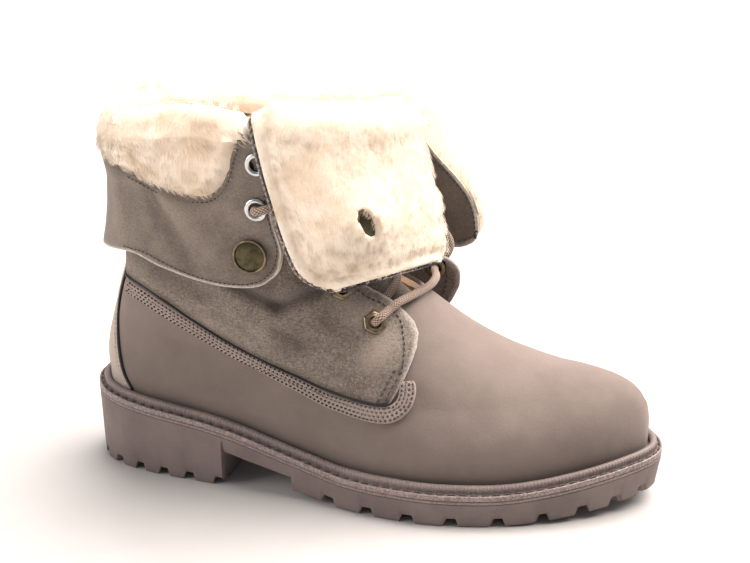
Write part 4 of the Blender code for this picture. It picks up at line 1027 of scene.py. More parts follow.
class BootSizes(bpy.types.PropertyGroup):
    """Sizes that change the boot's finish and leave its form alone."""

    stitch_pitch: size("Stitch pitch", "From one stitch of the suede's edges to the next", 0.0027, 0.001)
    stitch_length: size("Stitch length", "Length of thread that shows in one stitch", 0.0019, 0.0005)
    stitch_width: size("Thread width", "Width of the sewing thread", 0.0007, 0.0002)
    welt_pitch: size("Welt stitch pitch", "From one stitch of the welt to the next", 0.0052, 0.002)
    lace_width: size("Lace width", "Diameter of the round lace", 0.004, 0.002)
    cuff_pile: size("Cuff pile", "Length of the pile on the cuff", 0.0062, 0.001)
    flap_pile: size("Flap pile", "Length of the pile on the flap", 0.0046, 0.001)
    pile_seed: IntProperty(name="Pile seed", description="Seed of the pile's scatter", default=7, min=0)


class BootColours(bpy.types.PropertyGroup):
    """Main colour of each material."""

    nubuck: colour("Nubuck", "Vamp and lower quarter", "7e716a")
    suede: colour("Suede", "Eyestay quarters and cuff", "766b62")
    strip: colour("Heel strip", "Suede strip up the heel", "afa297")
    rubber: colour("Rubber", "Outsole and welt", "756864")
    fleece: colour("Fleece", "Tips of the pile", "e5d7c7")
    root: colour("Fleece roots", "Depth of the pile", "cfb89d")
    lace: colour("Lace", "Yarn of the laces", "a8917f")
    nickel: colour("Nickel", "Round eyelets", "c9cbcc")
    brass: colour("Antique brass", "Hexagonal eyelets and the snaps' rims", "847560")


FINISHES = {}


def make_finishes(tones):
    """Makes every material of the boot once, from the scene's colours."""
    FINISHES.update(
        paper=paper_sweep(),
        nubuck=hide("buffed taupe nubuck", tones.nubuck, 0.82, 1.16, 0.75, 38.0, 0.22, 0.10, 0.25),
        suede=hide("greige split suede", tones.suede, 0.5, 1.9, 0.8, 24.0, 0.85, 0.34, 0.5),
        # painted light: the cuff's suede is a lighter copy of the quarters' suede
        cuff_suede=hide("greige suede of the cuff", shade(tones.suede, 1.08), 0.6, 1.6, 0.7, 30.0, 0.55, 0.28,
                        0.4),
        strip=hide("pale suede strip", tones.strip, 0.84, 1.15, 0.7, 20.0, 0.3, 0.14, 0.3),
        # painted light: the band is a lighter copy of the vamp's nubuck
        band=hide("quilted nubuck band", shade(tones.nubuck, 1.55), 0.85, 1.2, 0.6, 20.0, 0.25, 0.08, 0.25),
        cut_edge=cut_edge(),
        rubber=moulded_rubber("moulded taupe rubber", tones.rubber, 0.86, 1.14, 1.6),
        welt=welt_rubber(tones.rubber),
        piping=piping(),
        thread=thread("navy grey bonded thread", "312e33", "4d494f"),
        welt_thread=thread("taupe bonded thread", "3d3533", "6f6460"),
        pale_thread=thread("pale bonded thread", "b9aea5", "d8cfc6"),
        pile=pile("sheepskin pile", tones.root, tones.fleece, 1.0),
        # painted light: the fleece's ground is a lighter copy of the pile
        fleece=pile("sheepskin ground", shade(tones.root, 1.08), shade(tones.fleece, 1.08), 0.9),
        lace=braid(tones.lace),
        nickel=plated("bright nickel plate", tones.nickel, "5b5c5e", 0.2, 0.15),
        brass=plated("antique brass plate", tones.brass, "3f3524", 0.34, 0.55),
        enamel=plated("blackened brass", linear("524d3a"), "2a281e", 0.3, 0.6),
        # painted shade: a dark disc stands for the shade inside an eyelet's hole
        hole=plated("painted shade inside an eyelet", linear("2c2827"), "171514", 0.5, 0.4),
    )


# ---------------------------------------------------------------- stage
class BOOT_OT_stage(bpy.types.Operator):
    """Camera, pale floor and soft studio lights."""

    bl_idname = "boot.stage"
    bl_label = "Stage"

    CAMERA_AT = (318.739, -736.411, 386.160)
    CAMERA_TURN = (13.6018, -20.7294, 0.5413)   # yaw, pitch and roll in degrees
    LENS = 81.96
    ROOM = (0.31, 0.62)     # strength of the room's light from the front and from behind

    def camera(self):
        yaw, pitch, roll = np.radians(self.CAMERA_TURN)
        ahead = np.array([-math.sin(yaw) * math.cos(pitch), math.cos(yaw) * math.cos(pitch), math.sin(pitch)])
        right = unit(np.cross(ahead, (0, 0, 1)))
        up = np.cross(right, ahead)
        right, up = right * math.cos(roll) + up * math.sin(roll), up * math.cos(roll) - right * math.sin(roll)
        data = bpy.data.cameras.new("camera")
        data.sensor_fit = "HORIZONTAL"
        data.sensor_width = 36.0
        data.lens = self.LENS
        made = link(bpy.data.objects.new("camera", data))
        turn = Matrix(np.column_stack([right, up, -ahead]).tolist()).to_4x4()
        made.matrix_world = Matrix.Translation(place([self.CAMERA_AT])[0]) @ turn
        bpy.context.scene.camera = made

    def floor(self):
        """A wide table top."""
        rings = []
        turns = np.arange(96) * 2 * math.pi / 96
        for radius, height in ((0.05, 0.0), (0.5, 0.0), (3.0, 0.0), (20.0, 0.0)):
            rings.append(np.column_stack([radius * np.cos(turns), radius * np.sin(turns),
                                          np.full(96, height)]))
        points = np.vstack(rings) / MM + (ORIGIN_X + 90, 0, 0)
        faces = grid_faces(len(rings), 96, wrap_columns=True) + [list(range(96))]
        sweep = new_mesh("floor", points, faces, "paper", outward=False)
        flip = bmesh.new()
        flip.from_mesh(sweep.data)
        bmesh.ops.recalc_face_normals(flip, faces=flip.faces)
        if flip.faces[:][-1].normal.z < 0:
            bmesh.ops.reverse_faces(flip, faces=flip.faces)
        flip.to_mesh(sweep.data)
        flip.free()

    def light(self, name, kind, at, back, energy, tone, **settings):
        """A light whose back is turned to a direction."""
        data = bpy.data.lights.new(name, kind)
        data.energy = energy
        data.color = linear(tone)
        for key, value in settings.items():
            setattr(data, key, value)
        made = link(bpy.data.objects.new(name, data))
        made.location = at
        made.rotation_mode = "QUATERNION"
        made.rotation_quaternion = Vector(back).to_track_quat("Z", "Y")

    def room(self):
        """A dim room round the set; the set's own backdrop looks white."""
        world = bpy.data.worlds.new("studio")
        world.use_nodes = True
        tree = world.node_tree
        back = tree.nodes["Background"]
        back.inputs["Color"].default_value = (*linear("fbfaff"), 1.0)
        way = add(tree, "ShaderNodeSeparateXYZ", {"Vector": add(tree, "ShaderNodeTexCoord")})
        dim = add(tree, "ShaderNodeMapRange", {"Value": way.outputs["Y"], "From Min": -0.8, "From Max": 0.8,
                                               "To Min": self.ROOM[0], "To Max": self.ROOM[1]},
                  interpolation_type="SMOOTHSTEP")
        seen = add(tree, "ShaderNodeLightPath").outputs["Is Camera Ray"]
        white = add(tree, "ShaderNodeMix", {"Factor": seen, 2: dim, 3: 1.05}, data_type="FLOAT")
        feed(tree, back.inputs["Strength"], white)
        bpy.context.scene.world = world

    def execute(self, context):
        self.camera()
        self.floor()
        high = (0.31, 0.3, 0.9)
        self.light("ceiling panel", "SUN", high, high, 8.8, "fff7f1", angle=math.radians(60.0))
        window = Vector((-1.3, -0.8, 0.75))
        self.light("window softbox", "AREA", window, window - Vector((0.1, 0.0, 0.08)), 16.0, "fffaf5",
                   shape="RECTANGLE", size=0.9, size_y=0.9)
        self.room()
        context.scene.view_settings.view_transform = "Standard"
        return {"FINISHED"}


# ---------------------------------------------------------------- laces
class BOOT_OT_laces(bpy.types.Operator):
    """The lace's free runs, braided, through the eyelets."""

    bl_idname = "boot.laces"
    bl_label = "Laces"

    START = 0.8              # from the leather to the lace's end in an eyelet's hole, mm
    RISE = 5.2               # from the leather to the middle of a lace bent over the rim, mm
    AROUND = 48              # faces round a lace
    YARNS = 8                # yarns of the braid each way
    BRAID_PITCH = 10.4        # length of one turn's share of a yarn, mm
    LIFT = 0.24              # height of a yarn over the gaps, mm
    OVER_VAMP = [(153.6, -26.4, 96.2), (156.8, -22.2, 98.6), (161, -12.5, 98.9), (165.6, 4, 98),
                 (166.6, 14, 97.8), (165.8, 21, 97.4), (163.9, 26, 97.8), (163.5, 28.8, 98.1)]
    UNDER_EDGE = [(148.8, -14.9, 96.9), (149.6, -12.6, 97.9), (151.4, -6, 100.3), (151.2, 1, 102.6),
                  (148.3, 7, 103.8), (145, 11.5, 104.4), (143.4, 13.6, 104.6)]
    OVER_THROAT = [(138, -28, 113), (141, -19, 117.4), (142.5, -6, 118.8), (145, 6, 117.2),
                   (147.6, 17, 113.4), (147.6, 26.5, 109.6), (144.8, 34.5, 104.4)]
    UP_LATERAL = [(104, -53.6, 149.2), (107.6, -50.6, 148.2), (111.5, -47.6, 144.5), (118.5, -43.4, 131)]
    UP_MEDIAL = [(168, 37.4, 103.4), (169, 38.6, 108), (166, 40, 113), (159, 42, 118), (150, 43.5, 122)]

    def end(self, node, side, lift, towards):
        """The lace's first steps out of an eyelet: straight up through its hole, then bent over its rim."""
        base, out = seat_of(node, side)
        point = base - out * lift
        along = np.asarray(towards, float) - point
        along = unit(along - out * (along @ out))
        return [point + out * self.START, point + out * (self.RISE - 2.6),
                point + out * (self.RISE - 0.9) + along * 0.8, point + out * self.RISE + along * 2.8]

    def run(self, name, route, width):
        """A tube round the route whose skin is braided: two families of yarns that pass over and under."""
        line = rounded(np.array(route, float), 14 * (len(route) - 1))
        length = path_length(line)
        line = along_path(line, np.linspace(0, 1, int(length / 0.26)))
        rings, lifts = [], []
        turns = np.arange(self.AROUND) * 2 * math.pi / self.AROUND
        for k, (spot, side, other) in enumerate(frames(line, (0.3, 0.2, 1.0))):
            run = k * length / (len(line) - 1) / self.BRAID_PITCH * self.YARNS
            first = turns / (2 * math.pi) * self.YARNS + run
            second = turns / (2 * math.pi) * self.YARNS - run
            over = (np.floor(first) + np.floor(second)) % 2
            cross_first = 1 - (2 * (first % 1) - 1) ** 2
            cross_second = 1 - (2 * (second % 1) - 1) ** 2
            lift = np.where(over > 0.5, 0.35 + 0.65 * cross_first * cross_second ** 0.4,
                            0.35 + 0.65 * cross_second * cross_first ** 0.4)
            lift = lift * np.sqrt(np.clip(cross_first * cross_second, 0, 1)) ** 0.5
            radius = width / 2 - self.LIFT + self.LIFT * lift
            if k in (0, len(line) - 1):
                radius = radius * 0.8
            rings.append(spot + radius[:, None] * circle(self.AROUND, side, other))
            lifts.append(lift)
        piece = tube(name, rings, "lace", {"lift": np.array(lifts)}, angle=70.0)
        done(piece, "lace", name)
        steps = along_path(line, np.linspace(0, 1, 40))
        tuple(place(steps)[0])
        path_length(place(steps))
        place(steps).tolist()

    def execute(self, context):
        width = context.scene.boot_sizes.lace_width / MM
        hexes = {side: [f"hex_eyelet_{name}_{n}" for n in (1, 2, 3)] for side, name in SIDES.items()}
        self.run("lace_bar_1", self.end(hexes[1][0], 1, HEX_LIFT, self.OVER_VAMP[0]) + self.OVER_VAMP, width)
        self.run("lace_bar_2", self.UNDER_EDGE, width)
        self.run("lace_bar_3", self.end(hexes[1][1], 1, HEX_LIFT, self.OVER_THROAT[0]) + self.OVER_THROAT
                 + self.end(hexes[2][1], 2, HEX_LIFT, self.OVER_THROAT[-1])[::-1], width)
        start = self.end("cuff_eyelet_lateral_1", 1, 0.35, self.UP_LATERAL[0])
        self.run("lace_run_lateral", start + self.UP_LATERAL
                 + self.end(hexes[1][2], 1, HEX_LIFT, self.UP_LATERAL[-1])[::-1], width)
        start = self.end(hexes[2][0], 2, HEX_LIFT, self.UP_MEDIAL[0])
        self.run("lace_run_medial", start + self.UP_MEDIAL, width)
        return {"FINISHED"}


# ---------------------------------------------------------------- sole
def sole_top(x):
    return rim_height(x) - WELT_THICK - GAP


def tread_height(x):
    """Underside of the sole at x, without its grooves."""
    x = np.asarray(x, float)
    spring = TOE_SPRING * np.clip((x - SPRING_START) / (SOLE_LENGTH - SPRING_START), 0, 1) ** 2
    heel = 1.6 * np.clip(1 - x / 7, 0, 1) ** 2
    middle = smooth(ARCH_HEIGHT, x)
    fore = smooth(FOREPART_FOOT, x) + spring
    return np.where(x <= HEEL_LENGTH, heel, np.where(x < FOREPART_START, middle, fore))


class BOOT_OT_outsole(bpy.types.Operator):
    """Moulded outsole: heel block, arch and forepart with lugs round their edges."""

    bl_idname = "boot.outsole"
    bl_label = "Outsole"

    GROOVE_DEPTH = 3.9
    BAND = 4.4               # height of the pale band under the rim, mm
    DRAFT = 1.6
    HEEL_GROOVES = (5.5, 19.3, 33, 46.8, 60.5, 74.3, 89.8)   # along the rim from the middle of the back, mm
    FORE_GROOVES = (0, 15.4, 31, 48.6, 68.6, 89.8, 111.8, 132.8, 153, 173.4)   # from the toe, both ways

    def grooves(self, whole, toe):
        """Arc place, reach inwards and width of each groove between two lugs."""
        places = []
        for step in self.HEEL_GROOVES:
            places += [(step, 13.0, 5.0), (whole - step, 13.0, 5.0)]
        for step in self.FORE_GROOVES:
            reach = 17.0 if step > 40 else 11.0
            places += [(toe + way * step, reach, 6.0) for way in ((-1, 1) if step else (1,))]
        return places

    def execute(self, context):
        plan, out = sole_loop(2880)
        steps = np.linalg.norm(np.diff(np.vstack([plan, plan[:1]]), axis=0), axis=1)
        length = np.r_[0, np.cumsum(steps)]
        whole, toe = length[-1], length[plan[:, 0].argmax()]
        places = self.grooves(whole, toe)
        marks = []
        for at, _, width in places:
            marks += [(at + sign * width * share) % whole
                      for sign in (-1, 1) for share in (0.74, 0.66, 0.62, 0.4, 0.34)]
            marks.append(at % whole)
        for x in (HEEL_LENGTH - 0.05, HEEL_LENGTH + 1.1, FOREPART_START - 0.4, FOREPART_START + 0.4):
            half = len(plan) // 2
            marks.append(np.interp(x, plan[:half, 0], length[:half]))
            marks.append(np.interp(x, plan[half:, 0][::-1], length[half:-1][::-1]))
        marks = np.array(sorted(marks))
        arcs = []
        for a, b in zip(marks, np.r_[marks[1:], marks[0] + whole]):
            count = max(1, int(math.ceil((b - a) / 2.0)))
            if b - a > 0.05:
                arcs += list(a + (b - a) * np.arange(count) / count)
        arcs = np.array(arcs) % whole
        closed = np.vstack([plan, plan[:1]])
        rim = np.column_stack([np.interp(arcs, length, closed[:, k]) for k in (0, 1)])
        away = unit(np.column_stack([np.interp(arcs, length, np.r_[out[:, k], out[:1, k]]) for k in (0, 1)]))
        spine_x = np.clip(rim[:, 0], 34.0, 236.0)
        spine = np.column_stack([spine_x, sole_centre(spine_x)])
        reach = np.linalg.norm(rim - spine, axis=1)

        def depth(inset):
            """How deep the grooves are at an inset from the rim."""
            cut = np.zeros(len(arcs))
            for at, far, width in places:
                gap = np.abs((arcs - at + whole / 2) % whole - whole / 2)
                side = np.clip((width * 0.64 - gap) / (width * 0.26), 0, 1)
                cut = np.maximum(cut, side * ease(far + 1.2, far - 0.6, inset))
            return cut * self.GROOVE_DEPTH

        rings, bands = [], []
        centre_share = np.array([0.0, 0.15, 0.3])
        for share in centre_share:
            flat = spine + (rim - spine) * share
            rings.append(np.column_stack([flat, tread_height(flat[:, 0]) + depth(reach * (1 - share))]))
            bands.append(np.zeros(len(arcs)))
        draft = np.minimum(self.DRAFT, reach * 0.2)
        for inset in (18.2, 16.8, 14.2, 12.4, 9.0, 5.5, 3.2):
            limited = np.minimum(inset, reach * 0.62)
            flat = rim - (rim - spine) / reach[:, None] * limited[:, None]
            rings.append(np.column_stack([flat, tread_height(flat[:, 0]) + depth(limited)]))
            bands.append(np.zeros(len(arcs)))
        top = sole_top(rim[:, 0])
        rim_z = rim_height(rim[:, 0])
        low = tread_height(rim[:, 0] - away[:, 0] * 2.2) + depth(0.0)
        wall_top = rim_z - self.BAND
        wall = [(low, draft + 1.0), (low + 0.22, draft + 0.45), (low + 0.8, draft + 0.1)]
        for share in (0.12, 0.3, 0.5, 0.7, 0.88):
            wall.append((low + 0.8 + (wall_top - 0.5 - low - 0.8) * share, draft * (1 - share) + 0.1))
        wall += [(wall_top - 0.25, 0.15), (wall_top, 0.5), (wall_top + 0.3, 0.02), (top - 0.5, 0.0),
                 (top, 0.4)]
        for k, (height, inset) in enumerate(wall):
            flat = rim - away * np.broadcast_to(inset, len(arcs))[:, None]
            rings.append(np.column_stack([flat, np.broadcast_to(height, len(arcs))]))
            bands.append(np.full(len(arcs), 1.0 if k >= len(wall) - 3 else 0.0))
        for share in (0.6, 0.0):
            flat = spine + (rim - spine) * share
            rings.append(np.column_stack([flat, sole_top(flat[:, 0])]))
            bands.append(np.zeros(len(arcs)))
        rings = np.array(rings)
        faces = grid_faces(len(rings), len(arcs), wrap_columns=True)
        piece = new_mesh("sole_unit", rings.reshape(-1, 3), faces, "rubber", {"band": np.array(bands)},
                         angle=32.0)
        done(close_spine(piece), "sole rubber", "outsole")
        return {"FINISHED"}


def close_spine(piece):
    """Closes the slit that a fan of faces leaves along its middle."""
    build = bmesh.new()
    build.from_mesh(piece.data)
    edges = [e for e in build.edges if e.is_boundary]
    if edges:
        bmesh.ops.holes_fill(build, edges=edges)
    bmesh.ops.recalc_face_normals(build, faces=build.faces)
    build.to_mesh(piece.data)
    build.free()
    return piece


def rim_sweep(section, count):
    """Rings round the rim: a section point is its inset from the rim and its height over it."""
    rings = []
    for inset, height in section:
        plan = inset_loop(inset, count)
        rings.append(np.column_stack([plan, rim_height(plan[:, 0]) + height]))
    return np.swapaxes(np.array(rings), 0, 1)


class BOOT_OT_welt(bpy.types.Operator):
    """Welt with its stitched ledge and its ribbed bead."""

    bl_idname = "boot.welt"
    bl_label = "Welt"

    STITCH_INSET = 1.35
    COUNT = 620

    def execute(self, context):
        middle = BEAD_INSET + BEAD_RADIUS + 0.15
        section = [(0.0, -WELT_THICK), (0.0, -0.55), (0.12, -0.15), (0.4, 0.05), (0.75, 0.05), (0.95, -0.3),
                   (1.75, -0.3), (1.95, 0.0), (2.25, 0.0), (2.45, -0.2)]
        for turn in np.radians(np.linspace(205, -10, 15)):
            section.append((middle + BEAD_RADIUS * math.cos(turn),
                            BEAD_HEIGHT - BEAD_RADIUS - 0.2 + BEAD_RADIUS * math.sin(turn)))
        section += [(middle + BEAD_RADIUS, 0.0), (WELT_WIDTH, 0.0), (WELT_WIDTH, -WELT_THICK)]
        rings = rim_sweep(section, self.COUNT)
        run = np.r_[0, np.cumsum(np.linalg.norm(np.diff(rings[:, 12], axis=0), axis=1))]
        bead = np.array([1.0 if 10 <= k < 25 else 0.0 for k in range(len(section))])
        band = np.array([0.8 if k < 4 else 0.15 for k in range(len(section))])
        facts = {"run": np.repeat(run, len(section)), "bead": np.tile(bead, self.COUNT),
                 "band": np.tile(band, self.COUNT)}
        done(tube("welt_bead", rings, "welt", facts, closed=True), "welt rubber", "welt")
        plan = inset_loop(self.STITCH_INSET, self.COUNT)
        line = np.column_stack([plan, rim_height(plan[:, 0]) - 0.05])
        line = along_path(np.vstack([line, line[:1]]), np.linspace(0, 1, self.COUNT))
        sizes = context.scene.boot_sizes
        row = stitches("welt_stitches", [(line, np.tile((0.0, 0.0, 1.0), (len(line), 1)))], "welt_thread",
                       sizes.welt_pitch / MM, sizes.welt_pitch / MM * 0.82, 0.95, lean=0.08)
        done(row, "welt rubber")
        return {"FINISHED"}


# ---------------------------------------------------------------- upper
def join_sides(lateral, medial):
    """Rings from two grids that share their first and last columns: outer side forwards, inner side back."""
    back = (lateral[:, :1] + medial[:, :1]) / 2
    front = (lateral[:, -1:] + medial[:, -1:]) / 2
    return np.concatenate([back, lateral[:, 1:-1], front, medial[:, -2:0:-1]], axis=1)


def upper_rings(columns, rows, times):
    """Rings of the upper from its foot to the open edge, and their outward directions."""
    flats = [refine(side_patch(side, columns, rows), times) for side in (1, 2)]
    points = join_sides(*[skin(f[..., 0], f[..., 1], n + 1) for n, f in enumerate(flats)])
    out = join_sides(*[skin_normal(f[..., 0], f[..., 1], n + 1) for n, f in enumerate(flats)])
    for _ in range(3):
        out = unit(out + (np.roll(out, 1, 1) + np.roll(out, -1, 1)) / 2)
    return points, out


class BOOT_OT_upper(bpy.types.Operator):
    """Nubuck upper with its rolled top line, and its fleece lining."""

    bl_idname = "boot.upper"
    bl_label = "Upper"

    def execute(self, context):
        outer, out = upper_rings(49, 21, 3)
        waves = ripple(outer, 26.0) * 0.35 + ripple(outer, 9.0, 5.0) * 0.1
        outer = outer + out * waves[..., None]
        inner = outer - out * LEATHER
        inner[0, :, 2] = outer[0, :, 2]
        rows = len(outer)
        from_top = np.linalg.norm(outer - outer[-1][None], axis=2)
        rim = np.broadcast_to(1 - ease(0.3, 1.4, from_top), outer.shape[:2])
        climb = outer[..., 2] - rim_height(outer[..., 0])
        # painted shade: darker low down towards the sole, and at the throat's top edge
        painted_shade = 0.30 * ease(14, 1.5, climb) + 0.17 * ease(48, 12, climb)
        throat = ease(144, 148, outer[..., 0]) * ease(163, 159, outer[..., 0])
        painted_shade = np.maximum(painted_shade, 0.85 * throat * ease(5.0, 2.0, from_top))
        rim = rim * (1 - throat)
        piece = shell("upper_hide", outer, inner, "nubuck",
                      {"rim": rim * (np.arange(rows) > rows - 8)[:, None], "painted_shade": painted_shade}, wrap=True)
        bevel(piece, 0.6)
        done(piece, "nubuck", "upper")
        outer, out = upper_rings(41, 17, 3)
        outer = outer - out * (LEATHER + 0.15)
        lumps = ripple(outer, 4.0) * 0.5 + ripple(outer, 11.0, 3.0) * 0.5
        inner = outer - out * (WALL - LEATHER + lumps[..., None])
        inner[0, :, 2] = outer[0, :, 2]
        from_top = np.linalg.norm(outer - outer[-1][None], axis=2)
        # painted shade on the lining near the top of the throat
        shaded = ease(138, 142, outer[..., 0]) * ease(170, 165, outer[..., 0]) * ease(14, 8, from_top)
        lining = shell("upper_lining", outer, inner, "fleece", {"along": 0.9 * (1 - shaded), "painted_shade": shaded},
                       wrap=True)
        done(lining, "fleece")
        return {"FINISHED"}


class BOOT_OT_insole(bpy.types.Operator):
    """Insole of sheepskin."""

    bl_idname = "boot.insole"
    bl_label = "Insole"

    INSET = 13.3
    THICK = 5.0

    def execute(self, context):
        lateral, medial = inset_edges(self.INSET)
        low, high = lateral[0, 0], lateral[-1, 0]
        profile = [(-0.97, 0.0), (-1.0, 1.2), (-1.0, 3.2), (-0.95, 4.6)]
        profile += [(share, self.THICK) for share in np.linspace(-0.88, 0.88, 31)]
        profile += [(0.95, 4.6), (1.0, 3.2), (1.0, 1.2), (0.97, 0.0)]
        rings = []
        for turn in np.linspace(0.1, math.pi - 0.1, 110):
            x = low + (high - low) * (1 - math.cos(turn)) / 2
            edges = np.interp(x, *lateral.T), np.interp(x, *medial.T)
            middle, half = sum(edges) / 2, (edges[1] - edges[0]) / 2
            ring = np.array([(x, middle + share * half, height) for share, height in profile])
            ring[:, 2] += float(sole_top(x)) + GAP
            rings.append(ring)
        rings = np.array(rings)
        lumps = ripple(rings, 5.0) * 0.9 + ripple(rings, 2.2, 4.0) * 0.4
        rings[:, 4:-4, 2] += lumps[:, 4:-4] - 0.6
        along = np.full(rings.shape[:2], 0.8)
        done(tube("insole_fleece", rings, "fleece", {"along": along}, angle=60.0), "fleece", "insole")
        return {"FINISHED"}


def quarter_grid(columns, rows, times):
    """The eyestay's grid in side view, from its seam to its front edge."""
    across, climb = np.linspace(0, 1, columns), np.linspace(0, 1, rows)
    bottom = along_path(rounded(QUARTER["bottom"]), across)
    top = along_path(rounded(QUARTER["top"]), across)
    front = along_path(rounded(QUARTER["front"]), climb)
    return refine(coons(bottom, top, np.linspace(bottom[0], top[0], rows), front, across), times)


def row_on(at, line, side, step):
    """A side-view line as a row of stitches: its places on a surface and their outward directions."""
    x, z = line.T
    run, rise = at(x + step, z) - at(x - step, z), at(x, z + step) - at(x, z - step)
    return at(x, z), unit(np.cross(run, rise)) * (1 if side == 1 else -1)


def on_quarter(flat_line, side, height):
    """A line on the eyestay as a row of stitches."""
    line = along_path(rounded(flat_line), np.linspace(0, 1, 240))
    return row_on(lambda x, z: quarter_point(x, z, side, height), line, side, 0.8)


def sewing(context):
    """Pitch, length and width of the suede's stitches in mm."""
    sizes = context.scene.boot_sizes
    return sizes.stitch_pitch / MM, sizes.stitch_length / MM, sizes.stitch_width / MM


class BOOT_OT_quarters(bpy.types.Operator):
    """Suede eyestay quarters with their cut front edges, stitches and the piping along their lower seam."""

    bl_idname = "boot.quarters"
    bl_label = "Quarters"

    HEIGHT = OVERLAY_GAP + OVERLAY_THICK
    FRONT_ROW = [(117, 124), (124.5, 114.5), (134, 106), (141.8, 99.8), (147.2, 96.8), (151.2, 94.2),
                 (155, 91.1), (157.8, 87.6), (159.5, 83.4), (160.8, 80), (161.5, 76), (161.8, 72.1),
                 (161.3, 69)]
    TAB_ROWS = [[(158.4, 69.4), (156.8, 66), (155.2, 62.4), (153.6, 58.8), (152.5, 56.6)],
                [(161, 68.4), (159.5, 65), (157.8, 61.4), (156.2, 57.4)],
                [(158.4, 69.4), (159.8, 69.3), (161.3, 69)]]
    PIPING = 0.6
    # patches of painted highlight (the first list) and of painted shade (the second)
    PAINTED_HIGHLIGHTS = [(152, 80, 6.5, 0.5), (147, 73, 6, 0.4), (140, 95, 6, 0.3), (133, 99, 6, 0.25), (68, 86, 9, 0.15)]
    SHADED = [(116, 110, 8, 0.5), (98, 110, 7, 0.35), (111, 82, 9, 0.22), (122, 92, 7, 0.15)]

    def execute(self, context):
        pitch, length, width = sewing(context)
        for side, name in SIDES.items():
            flat = quarter_grid(45, 22, 3)
            x, z = flat[..., 0], flat[..., 1]
            outer = quarter_point(x, z, side, self.HEIGHT)
            inner = quarter_point(x, z, side, OVERLAY_GAP)
            out = unit(outer - inner)
            sewn = on_quarter(self.FRONT_ROW, side, self.HEIGHT)[0]
            away = nearest(outer, sewn[::2])
            lumps = ripple(outer, 16.0) * 0.45 + ripple(outer, 6.0, 9.0) * 0.18
            outer = outer + out * (lumps * ease(0, 8, away) - 0.4 * np.exp(-(away / 0.9) ** 2))[..., None]
            edge = np.vstack([outer[:, -1], outer[-1]])
            far = nearest(outer, edge)
            outer = outer - out * (0.75 * (1 - np.clip(far / 2.2, 0, 1)) ** 2)[..., None]
            rim = 0.75 - 0.75 * ease(0.1, 0.6, far)
            # painted shade along the lower seam, under the cuff's hem, in the creases and in shaded patches
            painted_shade = (0.55 * ease(3.4, 0.6, nearest(outer, outer[0]))
                    + 0.5 * ease(100, 116, z) * ease(110, 60, x))
            fall = crease(x, z, side)
            painted_shade = np.clip(painted_shade + 0.45 * np.clip(fall, 0, 2.0) + self.patches(self.SHADED, x, z), 0, 0.92)
            # painted highlight patches where light catches the nap
            wear_and_highlight = self.patches(self.PAINTED_HIGHLIGHTS, x, z)
            piece = shell(f"quarter_{name}_suede", outer, inner, "suede",
                          {"rim": rim, "painted_shade": painted_shade, "wear_and_highlight": wear_and_highlight}, edge="cut_edge")
            bevel(piece, 0.3)
            done(piece, "suede", f"quarter_{name}")
            rows = [on_quarter(self.FRONT_ROW, side, self.HEIGHT)]
            rows += [on_quarter(line, side, self.HEIGHT) for line in self.TAB_ROWS]
            if side == 2:
                points, out = on_quarter(self.FRONT_ROW, side, OVERLAY_GAP)
                rows.append((points, -out))
            done(stitches(f"quarter_{name}_stitches", rows, "thread", pitch, length, width), "suede")
            seam = along_path(rounded(QUARTER["bottom"]), np.linspace(0, 1, 150))
            seam[:, 1] -= 0.35
            centre = skin(seam[:, 0], seam[:, 1], side, self.HEIGHT + 0.15)
            done(round_tube(f"quarter_{name}_piping", centre, self.PIPING, "piping"), "nubuck")
        return {"FINISHED"}

    def patches(self, table, x, z):
        """Soft round patches on the suede: where each lies, how far it reaches and how strong it is."""
        return sum(share * np.exp(-((x - cx) ** 2 + (z - cz) ** 2) / reach ** 2) for cx, cz, reach,
                   share in table)


def round_tube(name, line, radius, finish, steps=10):
    """A plain round cord sewn down along a line."""
    rings = [spot + radius * circle(steps, side, other) for spot, side,
             other in frames(line, (0.2, 0.3, 1.0))]
    for k in (0, -1):
        rings[k] = (rings[k] + line[k]) / 2
    return tube(name, rings, finish, angle=70.0)


